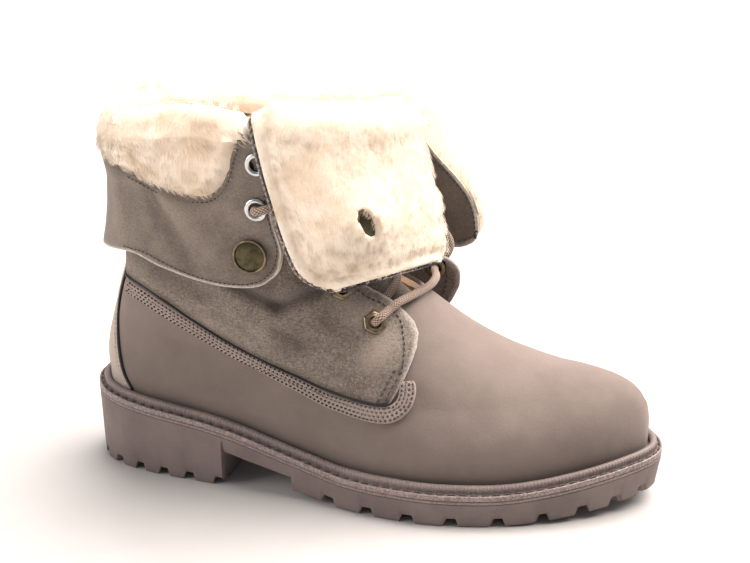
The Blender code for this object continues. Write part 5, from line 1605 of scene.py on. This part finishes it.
class BOOT_OT_bands(bpy.types.Operator):
    """Quilted bands under the quarters, sewn down in four rows that pull them into small pads."""

    bl_idname = "boot.bands"
    bl_label = "Padded bands"

    ROWS = (-0.34, -0.115, 0.115, 0.34)   # across the band, as shares of its width
    PITCH = 2.15
    STATIONS = 300
    ACROSS = 29

    def execute(self, context):
        line = along_path(rounded(BAND_LINE), np.linspace(0, 1, self.STATIONS))
        length = path_length(line)
        run = np.linspace(0, length, self.STATIONS)
        along = unit(np.gradient(line, axis=0))
        across = np.column_stack([-along[:, 1], along[:, 0]])
        shares = np.linspace(-0.5, 0.5, self.ACROSS)
        taper = np.minimum(run, length - run)
        width = BAND_WIDTH * (0.55 + 0.45 * np.sqrt(1 - (1 - np.clip(taper / 4.0, 0, 1)) ** 2))
        for side, name in SIDES.items():
            spots = line[:, None] + across[:, None] * (shares[None] * width[:, None])[..., None]
            crown = np.sqrt(np.clip(1 - (2 * np.abs(shares)) ** 4, 0, 1))[None]
            pulled = np.zeros((self.STATIONS, self.ACROSS))
            for n, row in enumerate(self.ROWS):
                phase = np.cos(2 * math.pi * (run / self.PITCH + 0.5 * (n % 2)))[:, None]
                near = np.exp(-((shares[None] - row) * BAND_WIDTH / 0.62) ** 2)
                pulled = pulled + near * (0.38 + 0.62 * phase)
            height = OVERLAY_GAP + BAND_THICK * (0.30 + 0.62 * crown) - 0.75 * pulled
            outer = skin(spots[..., 0], spots[..., 1], side, height)
            inner = skin(spots[..., 0], spots[..., 1], side, OVERLAY_GAP - 0.6 + 0 * height)
            # painted shade in the stitched dents and along the pads' edges
            painted_shade = np.clip(0.5 * (pulled - 0.35) + 0.25 * (1 - crown), 0, 0.6)
            piece = shell(f"band_{name}_pad", outer, inner, "band", {"painted_shade": painted_shade}, angle=60.0)
            done(piece, "nubuck", f"band_{name}")
            rows = []
            for n, row in enumerate(self.ROWS):
                inside = (run > 1.6) & (run < length - 1.2)
                shift = int(round((n % 2) * self.PITCH / 2 / (length / self.STATIONS)))
                flat = (line + across * (row * width)[:, None])[inside][shift:]
                low = OVERLAY_GAP + BAND_THICK * 0.92 - 0.62
                points = skin(flat[:, 0], flat[:, 1], side, low + 0 * flat[:, 0])
                rows.append((points, skin_normal(flat[:, 0], flat[:, 1], side)))
            done(stitches(f"band_{name}_stitches", rows, "thread", self.PITCH, 1.25, 0.95), "nubuck")
        return {"FINISHED"}


class BOOT_OT_heel_strip(bpy.types.Operator):
    """Suede strip up the heel between two black seams."""

    bl_idname = "boot.heel_strip"
    bl_label = "Heel strip"

    SEAM = [(24.6, 39.9), (20.9, 45), (18.9, 50.1), (17.6, 56), (16.9, 62), (16.6, 68), (16.4, 74),
            (16.5, 80), (17.1, 86), (18.6, 92), (21.4, 99), (23.4, 105), (25.2, 112), (26.4, 122)]
    LIFT = 0.9

    def execute(self, context):
        seam = along_path(rounded(self.SEAM), np.linspace(0, 1, 120))
        back = np.column_stack([smooth(BACK_LINE, seam[:, 1]), seam[:, 1]])
        share = np.linspace(0, 1, 15)[None, :, None]
        share = 1 - (1 - share) ** 1.7
        halves, normals = [], []
        for side in (1, 2):
            flat = back[:, None] * (1 - share) + seam[:, None] * share
            halves.append(skin(flat[..., 0], flat[..., 1], side))
            normals.append(skin_normal(flat[..., 0], flat[..., 1], side))
        grid = np.concatenate([halves[0][:, ::-1], halves[1][:, 1:]], axis=1)
        out = np.concatenate([normals[0][:, ::-1], normals[1][:, 1:]], axis=1)
        for _ in range(3):
            out[:, 1:-1] = unit(out[:, 1:-1] + (out[:, 2:] + out[:, :-2]) / 2)
        lumps = ripple(grid, 12.0) * 0.2
        far = np.minimum(nearest(grid, grid[:, 0]), nearest(grid, grid[:, -1]))
        height = self.LIFT * np.sqrt(np.clip(far / 1.6, 0,
                                             1)) + 0.1 - 0.35 * np.exp(-((far - 2.2) / 0.7) ** 2)
        outer = grid + out * (height + lumps * ease(0, 5, far))[..., None]
        inner = grid - out * 0.5
        rim = 0.7 * (1 - ease(0.2, 1.2, far))
        # painted shade, darker towards the strip's foot
        painted_shade = 0.25 * ease(52, 39, grid[..., 2])
        piece = shell("heel_strip", outer, inner, "strip", {"rim": rim, "painted_shade": painted_shade}, angle=60.0)
        done(piece, "suede")
        rows = []
        for side in (1, 2):
            line = seam[4:-8].copy()
            line[:, 0] -= 1.7
            points = skin(line[:, 0], line[:, 1], side, self.LIFT * 0.85)
            rows.append((points, skin_normal(line[:, 0], line[:, 1], side)))
            cord = skin(seam[:, 0] + 0.4, seam[:, 1], side, 0.5)
            done(round_tube(f"heel_seam_{SIDES[side]}", cord, 0.75, "piping"), "nubuck")
        done(stitches("heel_strip_stitches", rows, "pale_thread", 2.3, 1.6, 0.6), "suede")
        return {"FINISHED"}


# ---------------------------------------------------------------- cuff
SIDE_ROWS = 44           # rows of the cuff's grid from its hem to the roll
ALL_ROWS = 57            # those and the rows over the roll into the mouth
FACED_ROWS = 48          # rows that the suede covers
PATCH_FRONT = 91.5       # front of the fleece patch on the outer side, before the skew
FUR_LINE = {
    1: [(-30, 159), (20, 159), (36.7, 157.5), (43, 155.6), (50, 152.8), (60.5, 150.5), (65.1, 149.5),
        (70.8, 149.5), (76.5, 150.6), (81.7, 154.6), (84.6, 159.5), (86.3, 164.2), (87.6, 169.8), (89.5, 175),
        (91, 182), (91.5, 240)],
    2: [(-30, 159), (20, 159), (36, 156), (56, 150.5), (76, 146), (96, 138), (112, 126),
        (150, 108)],
}


def fur_depth(x, z, side):
    """How far inside the fleece patch a place lies, less than 0 on the suede; x is before the skew."""
    line = along_path(rounded(FUR_LINE[side], 200), np.linspace(0, 1, 400))
    flat = np.stack([x, z], -1)
    far = nearest(flat, line)
    if side == 1:
        inside = (z > np.interp(x, line[:, 0], line[:, 1])) & (x < PATCH_FRONT)
    else:
        inside = z > np.interp(x, line[:, 0], line[:, 1])
    return np.where(inside, far, -far)


class Cuff:
    """The turned-down cuff as grids from its hem over the roll into the mouth, both sides in one sheet."""

    TURN = (0, 0.18, 0.4, 0.6, 0.8, 1)     # along the roll, from the facing to the mouth
    INSET = (0, 1.4, 4.6, 8.6, 12.6, 15.6)
    DROP = (12, 6, 1.4, 0, 1.4, 5.5)       # under the roll's top

    def __init__(self, columns):
        self.halves = [self.side(side, columns) for side in (1, 2)]

    def side(self, side, columns):
        name = SIDES[side]
        share = (1 - np.cos(np.linspace(0, math.pi, columns))) / 2
        hem, edge = CUFF_HEM[name], COLLAR_EDGE[name]
        hem_x = hem[0, 0] + (hem[-1, 0] - hem[0, 0]) * share
        low = smooth(hem, hem_x)
        last = 92.0 if side == 1 else 96.0
        shaft = smooth(edge[edge[:, 0] <= last], 20.5 + (last - 20.5) * share)
        top = shaft + CUFF_ROLL
        made = {"outer": [], "inner": [], "share": share}
        for climb in np.linspace(0, 1, SIDE_ROWS):
            made["outer"].append((0 * share, low + (top - 12 - low) * climb))
            thick = 4.6 + (8.2 - 4.6) * ease(0.1, 0.7, climb)
            made["inner"].append((thick + 0 * share, low + (shaft + CUFF_SEAT - low) * climb))
        for turn in np.linspace(0, 1, ALL_ROWS - SIDE_ROWS + 1)[1:]:
            inset, drop = np.interp(turn, self.TURN, self.INSET), np.interp(turn, self.TURN, self.DROP)
            made["outer"].append((inset + 0 * share, top - drop))
            made["inner"].append((np.interp(turn, [0, 1], [8.4, 15.6]) + 0 * share, shaft + CUFF_SEAT))
        return made

    def grid(self, layer, inset):
        """One layer's points; inset adds to the layer's own, side by side."""
        parts = []
        for side, half in zip((1, 2), self.halves):
            rows = []
            for k, (own, z) in enumerate(half[layer]):
                rows.append(cuff_point(side, half["share"], z, own + inset[side - 1][k]))
            parts.append(np.array(rows))
        return np.concatenate([parts[1][:, :0:-1], parts[0]], axis=1)

    def flat(self, side):
        """Each outer place in side view, before the mouth's skew."""
        half = self.halves[side - 1]
        x, z = [], []
        for _, height in half["outer"]:
            start = smooth(CUFF_BACK, height)
            x.append(start + (smooth(CUFF_FRONT[SIDES[side]], height) - start) * half["share"])
            z.append(height)
        return np.array(x), np.array(z)

    def both(self, values):
        """Two sides' values as one grid, in the order of grid()."""
        return np.concatenate([values[1][:, :0:-1], values[0]], axis=1)


def cuff_row(side, flat_line, inset):
    """A line on the cuff's outside as a row of stitches; x is before the mouth's skew."""
    def at(x, z):
        start = smooth(CUFF_BACK, z)
        share = (x - start) / (smooth(CUFF_FRONT[SIDES[side]], z) - start)
        return cuff_point(side, share, z, inset + 0 * x)

    return row_on(at, along_path(rounded(flat_line), np.linspace(0, 1, 260)), side, 0.7)


class BOOT_OT_cuff(bpy.types.Operator):
    """Turned-down cuff: suede facing with its pale cut hem, fleece body and the pile that stands from it."""

    bl_idname = "boot.cuff"
    bl_label = "Cuff"

    FACING = 1.5
    FOLDS = [((47, 150), (66, 117), 5.5, 1.9), ((55, 152), (76, 125), 6, -1.6),
             ((27, 156), (32, 128), 6, -1.2), ((37, 150), (46, 126), 6, 0.7), ((78, 146), (92, 124), 7, 0.8)]
    HEM_ROW = [(33, 124), (44, 123.2), (54, 119.2), (64, 115.6), (74, 113.2), (84, 112.2), (93, 112.8),
               (99.6, 115.2), (104.2, 119.4), (106.8, 125), (107.2, 132), (104.6, 140), (102.2, 150),
               (101.8, 160), (100.8, 168)]

    def execute(self, context):
        sizes = context.scene.boot_sizes
        cuff = Cuff(70)
        depth = [fur_depth(*cuff.flat(side), side) for side in (1, 2)]
        over = np.arange(ALL_ROWS)[:, None]
        for n in (0, 1):
            inside = (cuff.flat(n + 1)[0] < PATCH_FRONT) & (over >= SIDE_ROWS) | (over >= FACED_ROWS)
            depth[n] = np.where(inside, np.maximum(depth[n], 9.0), depth[n])
        self.facing(cuff, depth)
        self.fleece(cuff, depth, sizes)
        pitch, length, width = sewing(context)
        self.wing(cuff, sizes, (pitch, length, width))
        rows = [cuff_row(1, [(x, z - 1.2) for x, z in self.HEM_ROW], -0.05),
                cuff_row(1, [(x, z - 1.2) for x, z in FUR_LINE[1][2:14]], 0.25)]
        done(stitches("cuff_stitches", rows, "thread", pitch * 0.8, length * 0.75, width * 0.7), "suede")
        return {"FINISHED"}

    def facing(self, cuff, depth):
        tuck = [3.2 * ease(0.8, 3.4, d) + 0.25 for d in depth]
        outer = cuff.grid("outer", tuck)[:FACED_ROWS]
        inner = cuff.grid("outer", [t + self.FACING for t in tuck])[:FACED_ROWS]
        out = unit(outer - inner)
        lumps = ripple(outer, 22.0) * 0.8 + ripple(outer, 8.0, 3.0) * 0.2
        x, z = [cuff.both([cuff.flat(side)[k] for side in (1, 2)])[:FACED_ROWS] for k in (0, 1)]
        for start, end, half, fall in self.FOLDS:
            lumps = lumps - fall * np.exp(-(line_distance(x, z, start, end) / half) ** 2 * 1.4)
        far = nearest(outer, np.vstack([outer[0], outer[:, 0], outer[:, -1]]))
        outer = outer + out * (lumps * ease(0, 12, far))[..., None]
        rim = 1 - ease(0.3, 1.5, far)
        # painted shade under the fleece patch's edge and in the folds' troughs
        facing_shade = cuff.both([ease(-5.0, 0.0, d) for d in depth])[:FACED_ROWS]
        facing_shade = facing_shade + np.clip(-0.4 * lumps - 0.1, 0, 0.6)
        # painted highlight on the folds' ridges
        wear_and_highlight = np.clip(0.12 * lumps - 0.03, 0, 0.2) * ease(0, 12, far)
        piece = shell("cuff_facing", outer, inner, "cuff_suede",
                      {"rim": rim, "painted_shade": 0.35 * facing_shade, "wear_and_highlight": wear_and_highlight}, edge="cut_edge")
        bevel(piece, 0.3)
        done(piece, "suede", "cuff")

    def swell(self, cuff, depth):
        """Insets of the fleece's body: under the facing on the suede, and proud of it inside the patch."""
        rolled = (np.arange(ALL_ROWS) >= SIDE_ROWS)[:, None]
        insets = []
        for side, d in zip((1, 2), depth):
            x, z = cuff.flat(side)
            grow = np.where(rolled, 2.0, 2.4 + 1.9 * ease(22, 40, x))
            dent = 2.8 * self.hollow(x, z) if side == 1 else 0.0
            insets.append(1.9 - grow * ease(-0.6, 7.0, d) + dent)
        return insets

    def hollow(self, x, z):
        """Where the fleece of the outer side is pressed in."""
        return (np.exp(-((x - 73) / 11) ** 2 - ((z - 176) / 8) ** 2)
                + 0.6 * np.exp(-((x - 40) / 6) ** 2 - ((z - 168) / 8) ** 2))

    def fleece(self, cuff, depth, sizes):
        """The fleece's body, and the pile that stands from it."""
        ground = cuff.grid("outer", self.swell(cuff, depth))
        front = ease(86, 96, cuff.flat(2)[0]) * (np.arange(ALL_ROWS) < SIDE_ROWS)[:, None]
        inner = cuff.grid("inner", [0 * front, -1.7 * front])
        puff = cuff.both([ease(1.0, 7.0, d) for d in depth])
        lumps = ripple(ground, 9.0) * 1.1 + ripple(ground, 4.0, 7.0) * 0.5
        # painted shade in the pressed-in hollow of the outer side
        dent_shade = 0.45 * self.hollow(*cuff.flat(1))
        dent_shade = cuff.both([dent_shade, 0 * dent_shade])
        outer = ground + unit(ground - inner) * (lumps * puff)[..., None]
        # painted shade in the hollows between the fleece's lumps
        painted_shade = np.clip(-0.35 * ripple(outer, 9.0) - 0.1, 0, 0.35) * puff + dent_shade
        facts = {"along": 0.3 + 0.4 * puff, "painted_shade": painted_shade}
        done(shell("cuff_fleece", outer, inner, "fleece", facts, angle=60.0), "fleece")
        # the pile gets the same painted shade
        painted_shade = np.clip(-0.35 * ripple(ground, 9.0) - 0.1, 0, 0.35) * puff + dent_shade
        facts = {"cover": cuff.both([ease(0.3, 2.0, d) for d in depth]),
                 "reach": cuff.both([0.6 + 0.4 * ease(1.0, 8.0, d) for d in depth]), "painted_shade": painted_shade}
        turn = ripple(ground, 30.0, 8.0) * 1.3
        rolled = (np.arange(len(ground)) >= SIDE_ROWS)[:, None]
        comb = combing(ground, -2.3 * np.cos(turn) * np.where(rolled, 0.6, 1.0), 2.3 * np.sin(turn))
        grow_pile("cuff_pile", ground, facts, comb, 0.11, sizes.cuff_pile / MM, 0.3, sizes.pile_seed)

    def wing(self, cuff, sizes, sewn):
        """The facing's inside where its medial front stands open, with fleece behind its cut edge."""
        front = ease(86, 96, cuff.flat(2)[0]) * (np.arange(ALL_ROWS) < SIDE_ROWS)[:, None]
        near = cuff.grid("inner", [0 * front, -0.1 - 1.5 * front])
        far = cuff.grid("inner", [0 * front, 0.1 * front])
        count = int(np.argmin(np.abs(cuff.flat(2)[0][20] - 93.0)))
        columns = slice(4, near.shape[1] // 2 + 1 - count)
        near, far = near[:SIDE_ROWS, columns], far[:SIDE_ROWS, columns]
        out = unit(far - near)
        edge = np.vstack([near[:, 0], near[0]])
        away = nearest(near, edge)
        lumps = ripple(near, 15.0) * 0.5 * ease(0, 6, away)
        far = far + out * lumps[..., None]
        # painted shade over the whole wing's suede
        piece = shell("cuff_wing", far, near, "cuff_suede",
                      {"rim": 1 - ease(0.9, 2.0, away), "painted_shade": 0.25 + 0 * away}, edge="cut_edge")
        done(piece, "suede")
        line = np.vstack([far[::-1, 0], far[0, 1:]])
        up = np.vstack([out[::-1, 0], out[0, 1:]])
        inward = np.vstack([unit(far[::-1, 3] - far[::-1, 0]), unit(far[4, 1:] - far[0, 1:])])
        done(stitches("cuff_wing_stitches", [(line + inward * 3.4 + up * 0.1, up)], "thread", *sewn), "suede")
        line, up, aside = far[::-1, 0], out[::-1, 0], unit(far[::-1, 0] - far[::-1, 3])
        roots = np.stack([line - up * 0.5, line - up * 3.0])
        fall = np.stack([np.linspace(1.0, 0.3, len(line))] * 2)
        comb = np.stack([aside * 2.6 - up * 0.7] * 2)
        # painted shade on the fringe, strongest at its top
        facts = {"cover": 1 + 0 * fall, "reach": fall, "painted_shade": 0.4 * fall}
        grow_pile("cuff_wing_pile", roots, facts, comb, 1.6, 12.0, 0.35, sizes.pile_seed)


# ---------------------------------------------------------------- tongue and flap
class BOOT_OT_tongue(bpy.types.Operator):
    """Tongue up the throat, folded over at its top into the hanging flap that shows its fleece."""

    bl_idname = "boot.tongue"
    bl_label = "Tongue and flap"

    COLUMNS = 75
    ROWS = 190
    BORDER = 6.2             # width of the shorn border along the flap's edges, mm
    BACKING = 1.5
    SLOT_TILT = 0.42         # of the slot that shows the snap, radians

    def sheet(self):
        table, left = tongue_rows(self.ROWS)
        shares = np.linspace(-1, 1, self.COLUMNS)
        shares = np.sign(shares) * (1 - (1 - np.abs(shares)) ** 1.35)
        grid = []
        for row, rest in zip(table, left):
            lost = max(0.0, 1 - math.sqrt(max(0.0, 1 - max(0.0, 1 - rest / FLAP_CORNER) ** 2))) * FLAP_CORNER
            grid.append(tongue_row(row, shares * (1 - lost / row[4])))
        grid = np.array(grid)
        out = normals_of(grid)
        if out[0, self.COLUMNS // 2, 2] < 0:
            out = -out
        return grid, out, table[:, 8], left

    def execute(self, context):
        grid, out, thick, left = self.sheet()
        thick = thick[:, None]
        face = grid + out * thick[..., None] / 2
        flap = left < 118.0
        hem = np.vstack([grid[flap][:, 0], grid[-1]])
        front = grid[flap][:, -1]
        hem_far = nearest(grid, hem[::2])
        front_far = nearest(grid, front[::2])
        tongue_side = ease(96, 118, left)[:, None]
        far = np.minimum(hem_far, front_far * 1.6)
        step = 3.6 - 2.2 * ease(30, 8, left)[:, None]
        raised = (ease(1.0, 2.6, far) * 2.6
                  + ease(self.BORDER, self.BORDER + 5.5, hem_far) * ease(0.5, 5.0, front_far) * step)
        groove = 0.4 * np.exp(-((hem_far - self.BORDER) / 1.2) ** 2)
        lumps = ripple(grid, 14.0) * 0.9 + ripple(grid, 5.0, 6.0) * 0.35
        mound, pit = self.snap_pit(grid)
        inside = ease(0, 9, np.minimum(hem_far, front_far))
        mound = mound + 4.2 * np.exp(-((left[:, None] - 80) / 15) ** 2) * inside
        bulk = raised - groove + lumps * ease(4.0, 11.0, far) + mound
        slim = np.clip(thick - self.BACKING - 0.2, 0.8, None)
        inside = ease(0.0, 2.5, np.minimum(hem_far + 3 * tongue_side, 9))
        bulk = bulk * (1 - tongue_side) + slim * tongue_side * inside
        bulk = np.minimum(bulk, thick + 1.5 + mound)
        bulk = bulk * (1 - pit) + np.minimum(bulk, 6.2) * pit
        back = face - out * self.BACKING
        rim = (1 - ease(0.3, 1.5, far)) * (1 - tongue_side)
        # painted shade on the tongue's suede down in the throat, fading towards the flap
        inside = 0.55 * ease(150, 120, left)[:, None] + 0 * far
        sheet = shell("tongue_suede", face, back, "suede", {"rim": rim, "painted_shade": np.clip(0.45 - inside, 0, 1)},
                      edge="cut_edge")
        done(sheet, "suede", "tongue")
        outer = back - out * np.maximum(bulk, 0.05)[..., None]
        keep = (slice(1, -1), slice(3, -3))
        shades = 0.75 + 0 * far
        # painted shade: darker where the fleece faces up over the fold's crown, in the low places of its
        # lumps and in the snap's slot
        crown = 0.3 * ease(0.35, 0.95, -out[..., 2])
        painted_shade = np.clip(np.clip(-0.2 * ripple(grid, 14.0) - 0.08, 0, 0.2) + crown + 0.6 * pit * (bulk < 7), 0,
                       0.7)
        body = shell("tongue_fleece", outer[keep], (back - out * 0.02)[keep], "fleece",
                     {"along": shades[keep], "painted_shade": painted_shade[keep]}, angle=60.0)
        done(body, "fleece")
        self.pile(context, outer, far, hem_far, left, painted_shade, pit)
        self.rows(context, grid, back, out, left)
        return {"FINISHED"}

    def snap_pit(self, grid):
        """The fleece swells round the snap and leaves a narrow slot over part of it."""
        snap, ahead = seat_of("tongue_snap", 1)
        row, column = np.unravel_index(np.linalg.norm(grid - snap, axis=2).argmin(), grid.shape[:2])
        aside = unit(grid[row, column + 2] - grid[row, column - 2])
        above = unit(grid[row - 2, column] - grid[row + 2, column])
        away = grid - snap
        flat = away - ahead * (away @ ahead)[..., None]
        mound = 5.2 * np.exp(-(np.linalg.norm(flat, axis=2) / 13.0) ** 2)
        long = above * math.cos(self.SLOT_TILT) - aside * math.sin(self.SLOT_TILT)
        short = aside * math.cos(self.SLOT_TILT) + above * math.sin(self.SLOT_TILT)
        away = away + aside * 2.4
        slot = np.hypot((away @ short) / 2.3, (away @ long) / 5.7)
        near = np.linalg.norm(away, axis=2) < 20
        return mound * near, (1 - ease(0.85, 1.5, slot)) * near

    def pile(self, context, outer, far, hem_far, left, painted_shade, pit):
        sizes = context.scene.boot_sizes
        flap = (left < 132.0)[:, None]
        cover = ease(1.4, 2.2, far) * flap * (pit < 0.25)
        reach = (0.5 + 0.1 * ease(2.0, 5.0, hem_far)
                 + 0.4 * ease(self.BORDER - 0.5, self.BORDER + 5.0, hem_far))
        turn = ripple(outer, 26.0, 4.0) * 1.2 - 0.25
        comb = combing(outer, 2.4 * np.cos(turn), 2.4 * np.sin(turn))
        facts = {"cover": cover, "reach": reach, "painted_shade": painted_shade}
        grow_pile("flap_pile", outer, facts, comb, 0.17, sizes.flap_pile / MM, 0.28, sizes.pile_seed + 1,
                  back=True)

    def rows(self, context, grid, back, out, left):
        flap = np.nonzero(left < 100.0)[0]
        line = np.vstack([back[flap, 0], back[-1, 1:]])
        up = -np.vstack([out[flap, 0], out[-1, 1:]])
        inward = np.vstack([unit(grid[flap, 3] - grid[flap, 0]), unit(grid[-5, 1:] - grid[-1, 1:])])
        points = line + inward * 1.5 + up * 0.25
        done(stitches("flap_stitches", [(points, up)], "thread", sewing(context)[0] * 0.72, 2.0, 1.4),
             "suede")


# ---------------------------------------------------------------- hardware
class BOOT_OT_round_eyelets(bpy.types.Operator):
    """Round nickel eyelets of the cuff."""

    bl_idname = "boot.round_eyelets"
    bl_label = "Round eyelets"

    RADIUS = 5.4
    HOLE = 2.9

    def execute(self, context):
        for side, name in SIDES.items():
            for n in (1, 2):
                node = f"cuff_eyelet_{name}_{n}"
                seat = seat_of(node, side)
                radius, hole = self.RADIUS, self.HOLE
                middle, roll = (radius + hole) / 2, (radius - hole) / 2
                profile = [(radius - 0.1, -1.2), (radius, 0.2)]
                for turn in np.radians(np.linspace(10, 170, 11)):
                    profile.append((middle + roll * math.cos(turn), 0.45 + 1.0 * math.sin(turn)))
                profile += [(hole, -1.6), (hole + 0.5, -1.6)]
                profile.append(profile[0])
                hollow = [0.4, 0.3] + [0.0] * 9 + [0.35, 0.6, 0.8, 0.8, 0.4]
                done(revolve(node + "_ring", profile, seat, "nickel", hollow=hollow), "nickel", node)
                # painted shade: a dark disc down in the hole
                dark = [(0.01, -1.45), (hole + 0.25, -1.45), (hole + 0.25, -0.9), (0.01, -0.9)]
                done(revolve(node + "_hole", dark, seat, "hole", steps=24), "nickel")
        return {"FINISHED"}


class BOOT_OT_hex_eyelets(bpy.types.Operator):
    """Hexagonal antique brass eyelets of the throat."""

    bl_idname = "boot.hex_eyelets"
    bl_label = "Hexagonal eyelets"

    APOTHEM = 5.0
    HOLE = 2.7
    STEPS = 48

    def rings(self, seat):
        point, out = seat
        right = unit(np.cross((0, 0, 1), out))
        up = np.cross(out, right)
        turns = np.arange(self.STEPS) * 2 * math.pi / self.STEPS
        flat = math.pi / 3
        shape = 1 / np.cos((turns + flat / 2) % flat - flat / 2)
        shape = 0.93 * shape + 0.07 * shape.min()
        levels = [(self.APOTHEM, 0, -1.1, 0.6), (self.APOTHEM, 0, 0.75, 0.2),
                  (self.APOTHEM - 0.25, 0, 1.1, 0.0), (self.APOTHEM - 0.75, 0, 1.35, 0.0),
                  (self.HOLE + 1.25, 1, 1.35, 0.15), (self.HOLE + 0.9, 1, 1.6, 0.0),
                  (self.HOLE + 0.4, 1, 1.7, 0.0), (self.HOLE + 0.08, 1, 1.45, 0.1), (self.HOLE, 1, 1.0, 0.5),
                  (self.HOLE, 1, -1.1, 1.0)]
        made, hollow = [], []
        for reach, turned_round, height, stain in levels:
            reach = reach * (np.ones(self.STEPS) if turned_round else shape)
            made.append(point + out * height + reach[:, None] * circle(self.STEPS, right, up))
            hollow.append(np.full(self.STEPS, stain))
        return np.array(made), np.array(hollow)

    def execute(self, context):
        for side, name in SIDES.items():
            for n in (1, 2, 3):
                node = f"hex_eyelet_{name}_{n}"
                seat = seat_of(node, side)
                made, hollow = self.rings(seat)
                done(tube(node + "_nut", made, "brass", {"hollow": hollow}, closed=True, angle=28.0), "brass",
                     node)
                # painted shade: a dark disc down in the hole
                dark = [(0.01, -0.75), (self.HOLE + 0.2, -0.75), (self.HOLE + 0.2, -0.3), (0.01, -0.3)]
                done(revolve(node + "_hole", dark, seat, "hole", steps=24), "brass")
        base, out = seat_of("hex_eyelet_medial_1", 2)
        seat = base - out * (HEX_LIFT + OVERLAY_THICK + 0.1), -out
        washer = [(2.9, -0.6), (5.0, -0.6), (5.0, 0.3), (4.5, 0.6), (3.3, 0.65), (2.9, 0.3), (2.9, -0.6)]
        done(revolve("hex_eyelet_medial_1_washer", washer, seat, "brass"), "brass")
        return {"FINISHED"}


class BOOT_OT_snaps(bpy.types.Operator):
    """Press-studs: brass rims round dark domes, on the cuff and sunk in the flap's fleece."""

    bl_idname = "boot.snaps"
    bl_label = "Snaps"

    RADIUS = 8.0

    def execute(self, context):
        for node, side in (("cuff_snap_lateral", 1), ("cuff_snap_medial", 2), ("tongue_snap", 1)):
            point, out = seat_of(node, side)
            radius = self.RADIUS
            rim = [(radius - 1.0, -0.8), (radius - 0.35, -0.2), (radius, 0.5), (radius, 1.1)]
            for turn in np.radians(np.linspace(20, 180, 7)):
                rim.append((radius - 0.55 + 0.55 * math.cos(turn), 1.3 + 0.55 * math.sin(turn)))
            rim += [(radius - 1.15, 0.9), (radius - 1.0, -0.8)]
            hollow = [0.8, 0.5, 0.2, 0.0] + [0.0] * 5 + [0.4, 0.8, 1.0, 1.0]
            done(revolve(node + "_rim", rim, (point, out), "brass", hollow=hollow), "brass", node)
            cap = [(0.01, -0.6), (radius - 1.0, -0.6), (radius - 1.05, 1.05), (radius - 2.2, 1.35),
                   (radius - 4.2, 1.65), (radius - 6.0, 1.78), (0.01, 1.82)]
            done(revolve(node + "_cap", cap, (point, out), "enamel"), "brass")
        return {"FINISHED"}


# ---------------------------------------------------------------- add-on
CLASSES = [BootSizes, BootColours, BOOT_OT_stage, BOOT_OT_laces, BOOT_OT_outsole, BOOT_OT_welt, BOOT_OT_upper,
           BOOT_OT_insole, BOOT_OT_quarters, BOOT_OT_bands, BOOT_OT_heel_strip, BOOT_OT_cuff, BOOT_OT_tongue,
           BOOT_OT_round_eyelets, BOOT_OT_hex_eyelets, BOOT_OT_snaps]
OPERATORS = [kind for kind in CLASSES if issubclass(kind, bpy.types.Operator)]


class BOOT_PT_panel(bpy.types.Panel):
    """Lists the boot's pieces, sizes and colours."""

    bl_idname = "BOOT_PT_panel"
    bl_label = "Fur-lined ankle boot"
    bl_space_type = "VIEW_3D"
    bl_region_type = "UI"
    bl_category = "Boot"

    def draw(self, context):
        layout = self.layout
        for settings in (context.scene.boot_sizes, context.scene.boot_colours):
            box = layout.box()
            for key in settings.bl_rna.properties.keys():
                if key not in ("rna_type", "name"):
                    box.prop(settings, key)
        for kind in OPERATORS:
            layout.operator(kind.bl_idname)


def register():
    for kind in CLASSES + [BOOT_PT_panel]:
        bpy.utils.register_class(kind)
    bpy.types.Scene.boot_sizes = PointerProperty(type=BootSizes)
    bpy.types.Scene.boot_colours = PointerProperty(type=BootColours)


def unregister():
    del bpy.types.Scene.boot_colours
    del bpy.types.Scene.boot_sizes
    for kind in reversed(CLASSES + [BOOT_PT_panel]):
        bpy.utils.unregister_class(kind)


def main():
    register()
    make_finishes(bpy.context.scene.boot_colours)
    for kind in OPERATORS:
        family, action = kind.bl_idname.split(".")
        getattr(getattr(bpy.ops, family), action)()


if __name__ == "__main__":
    main()
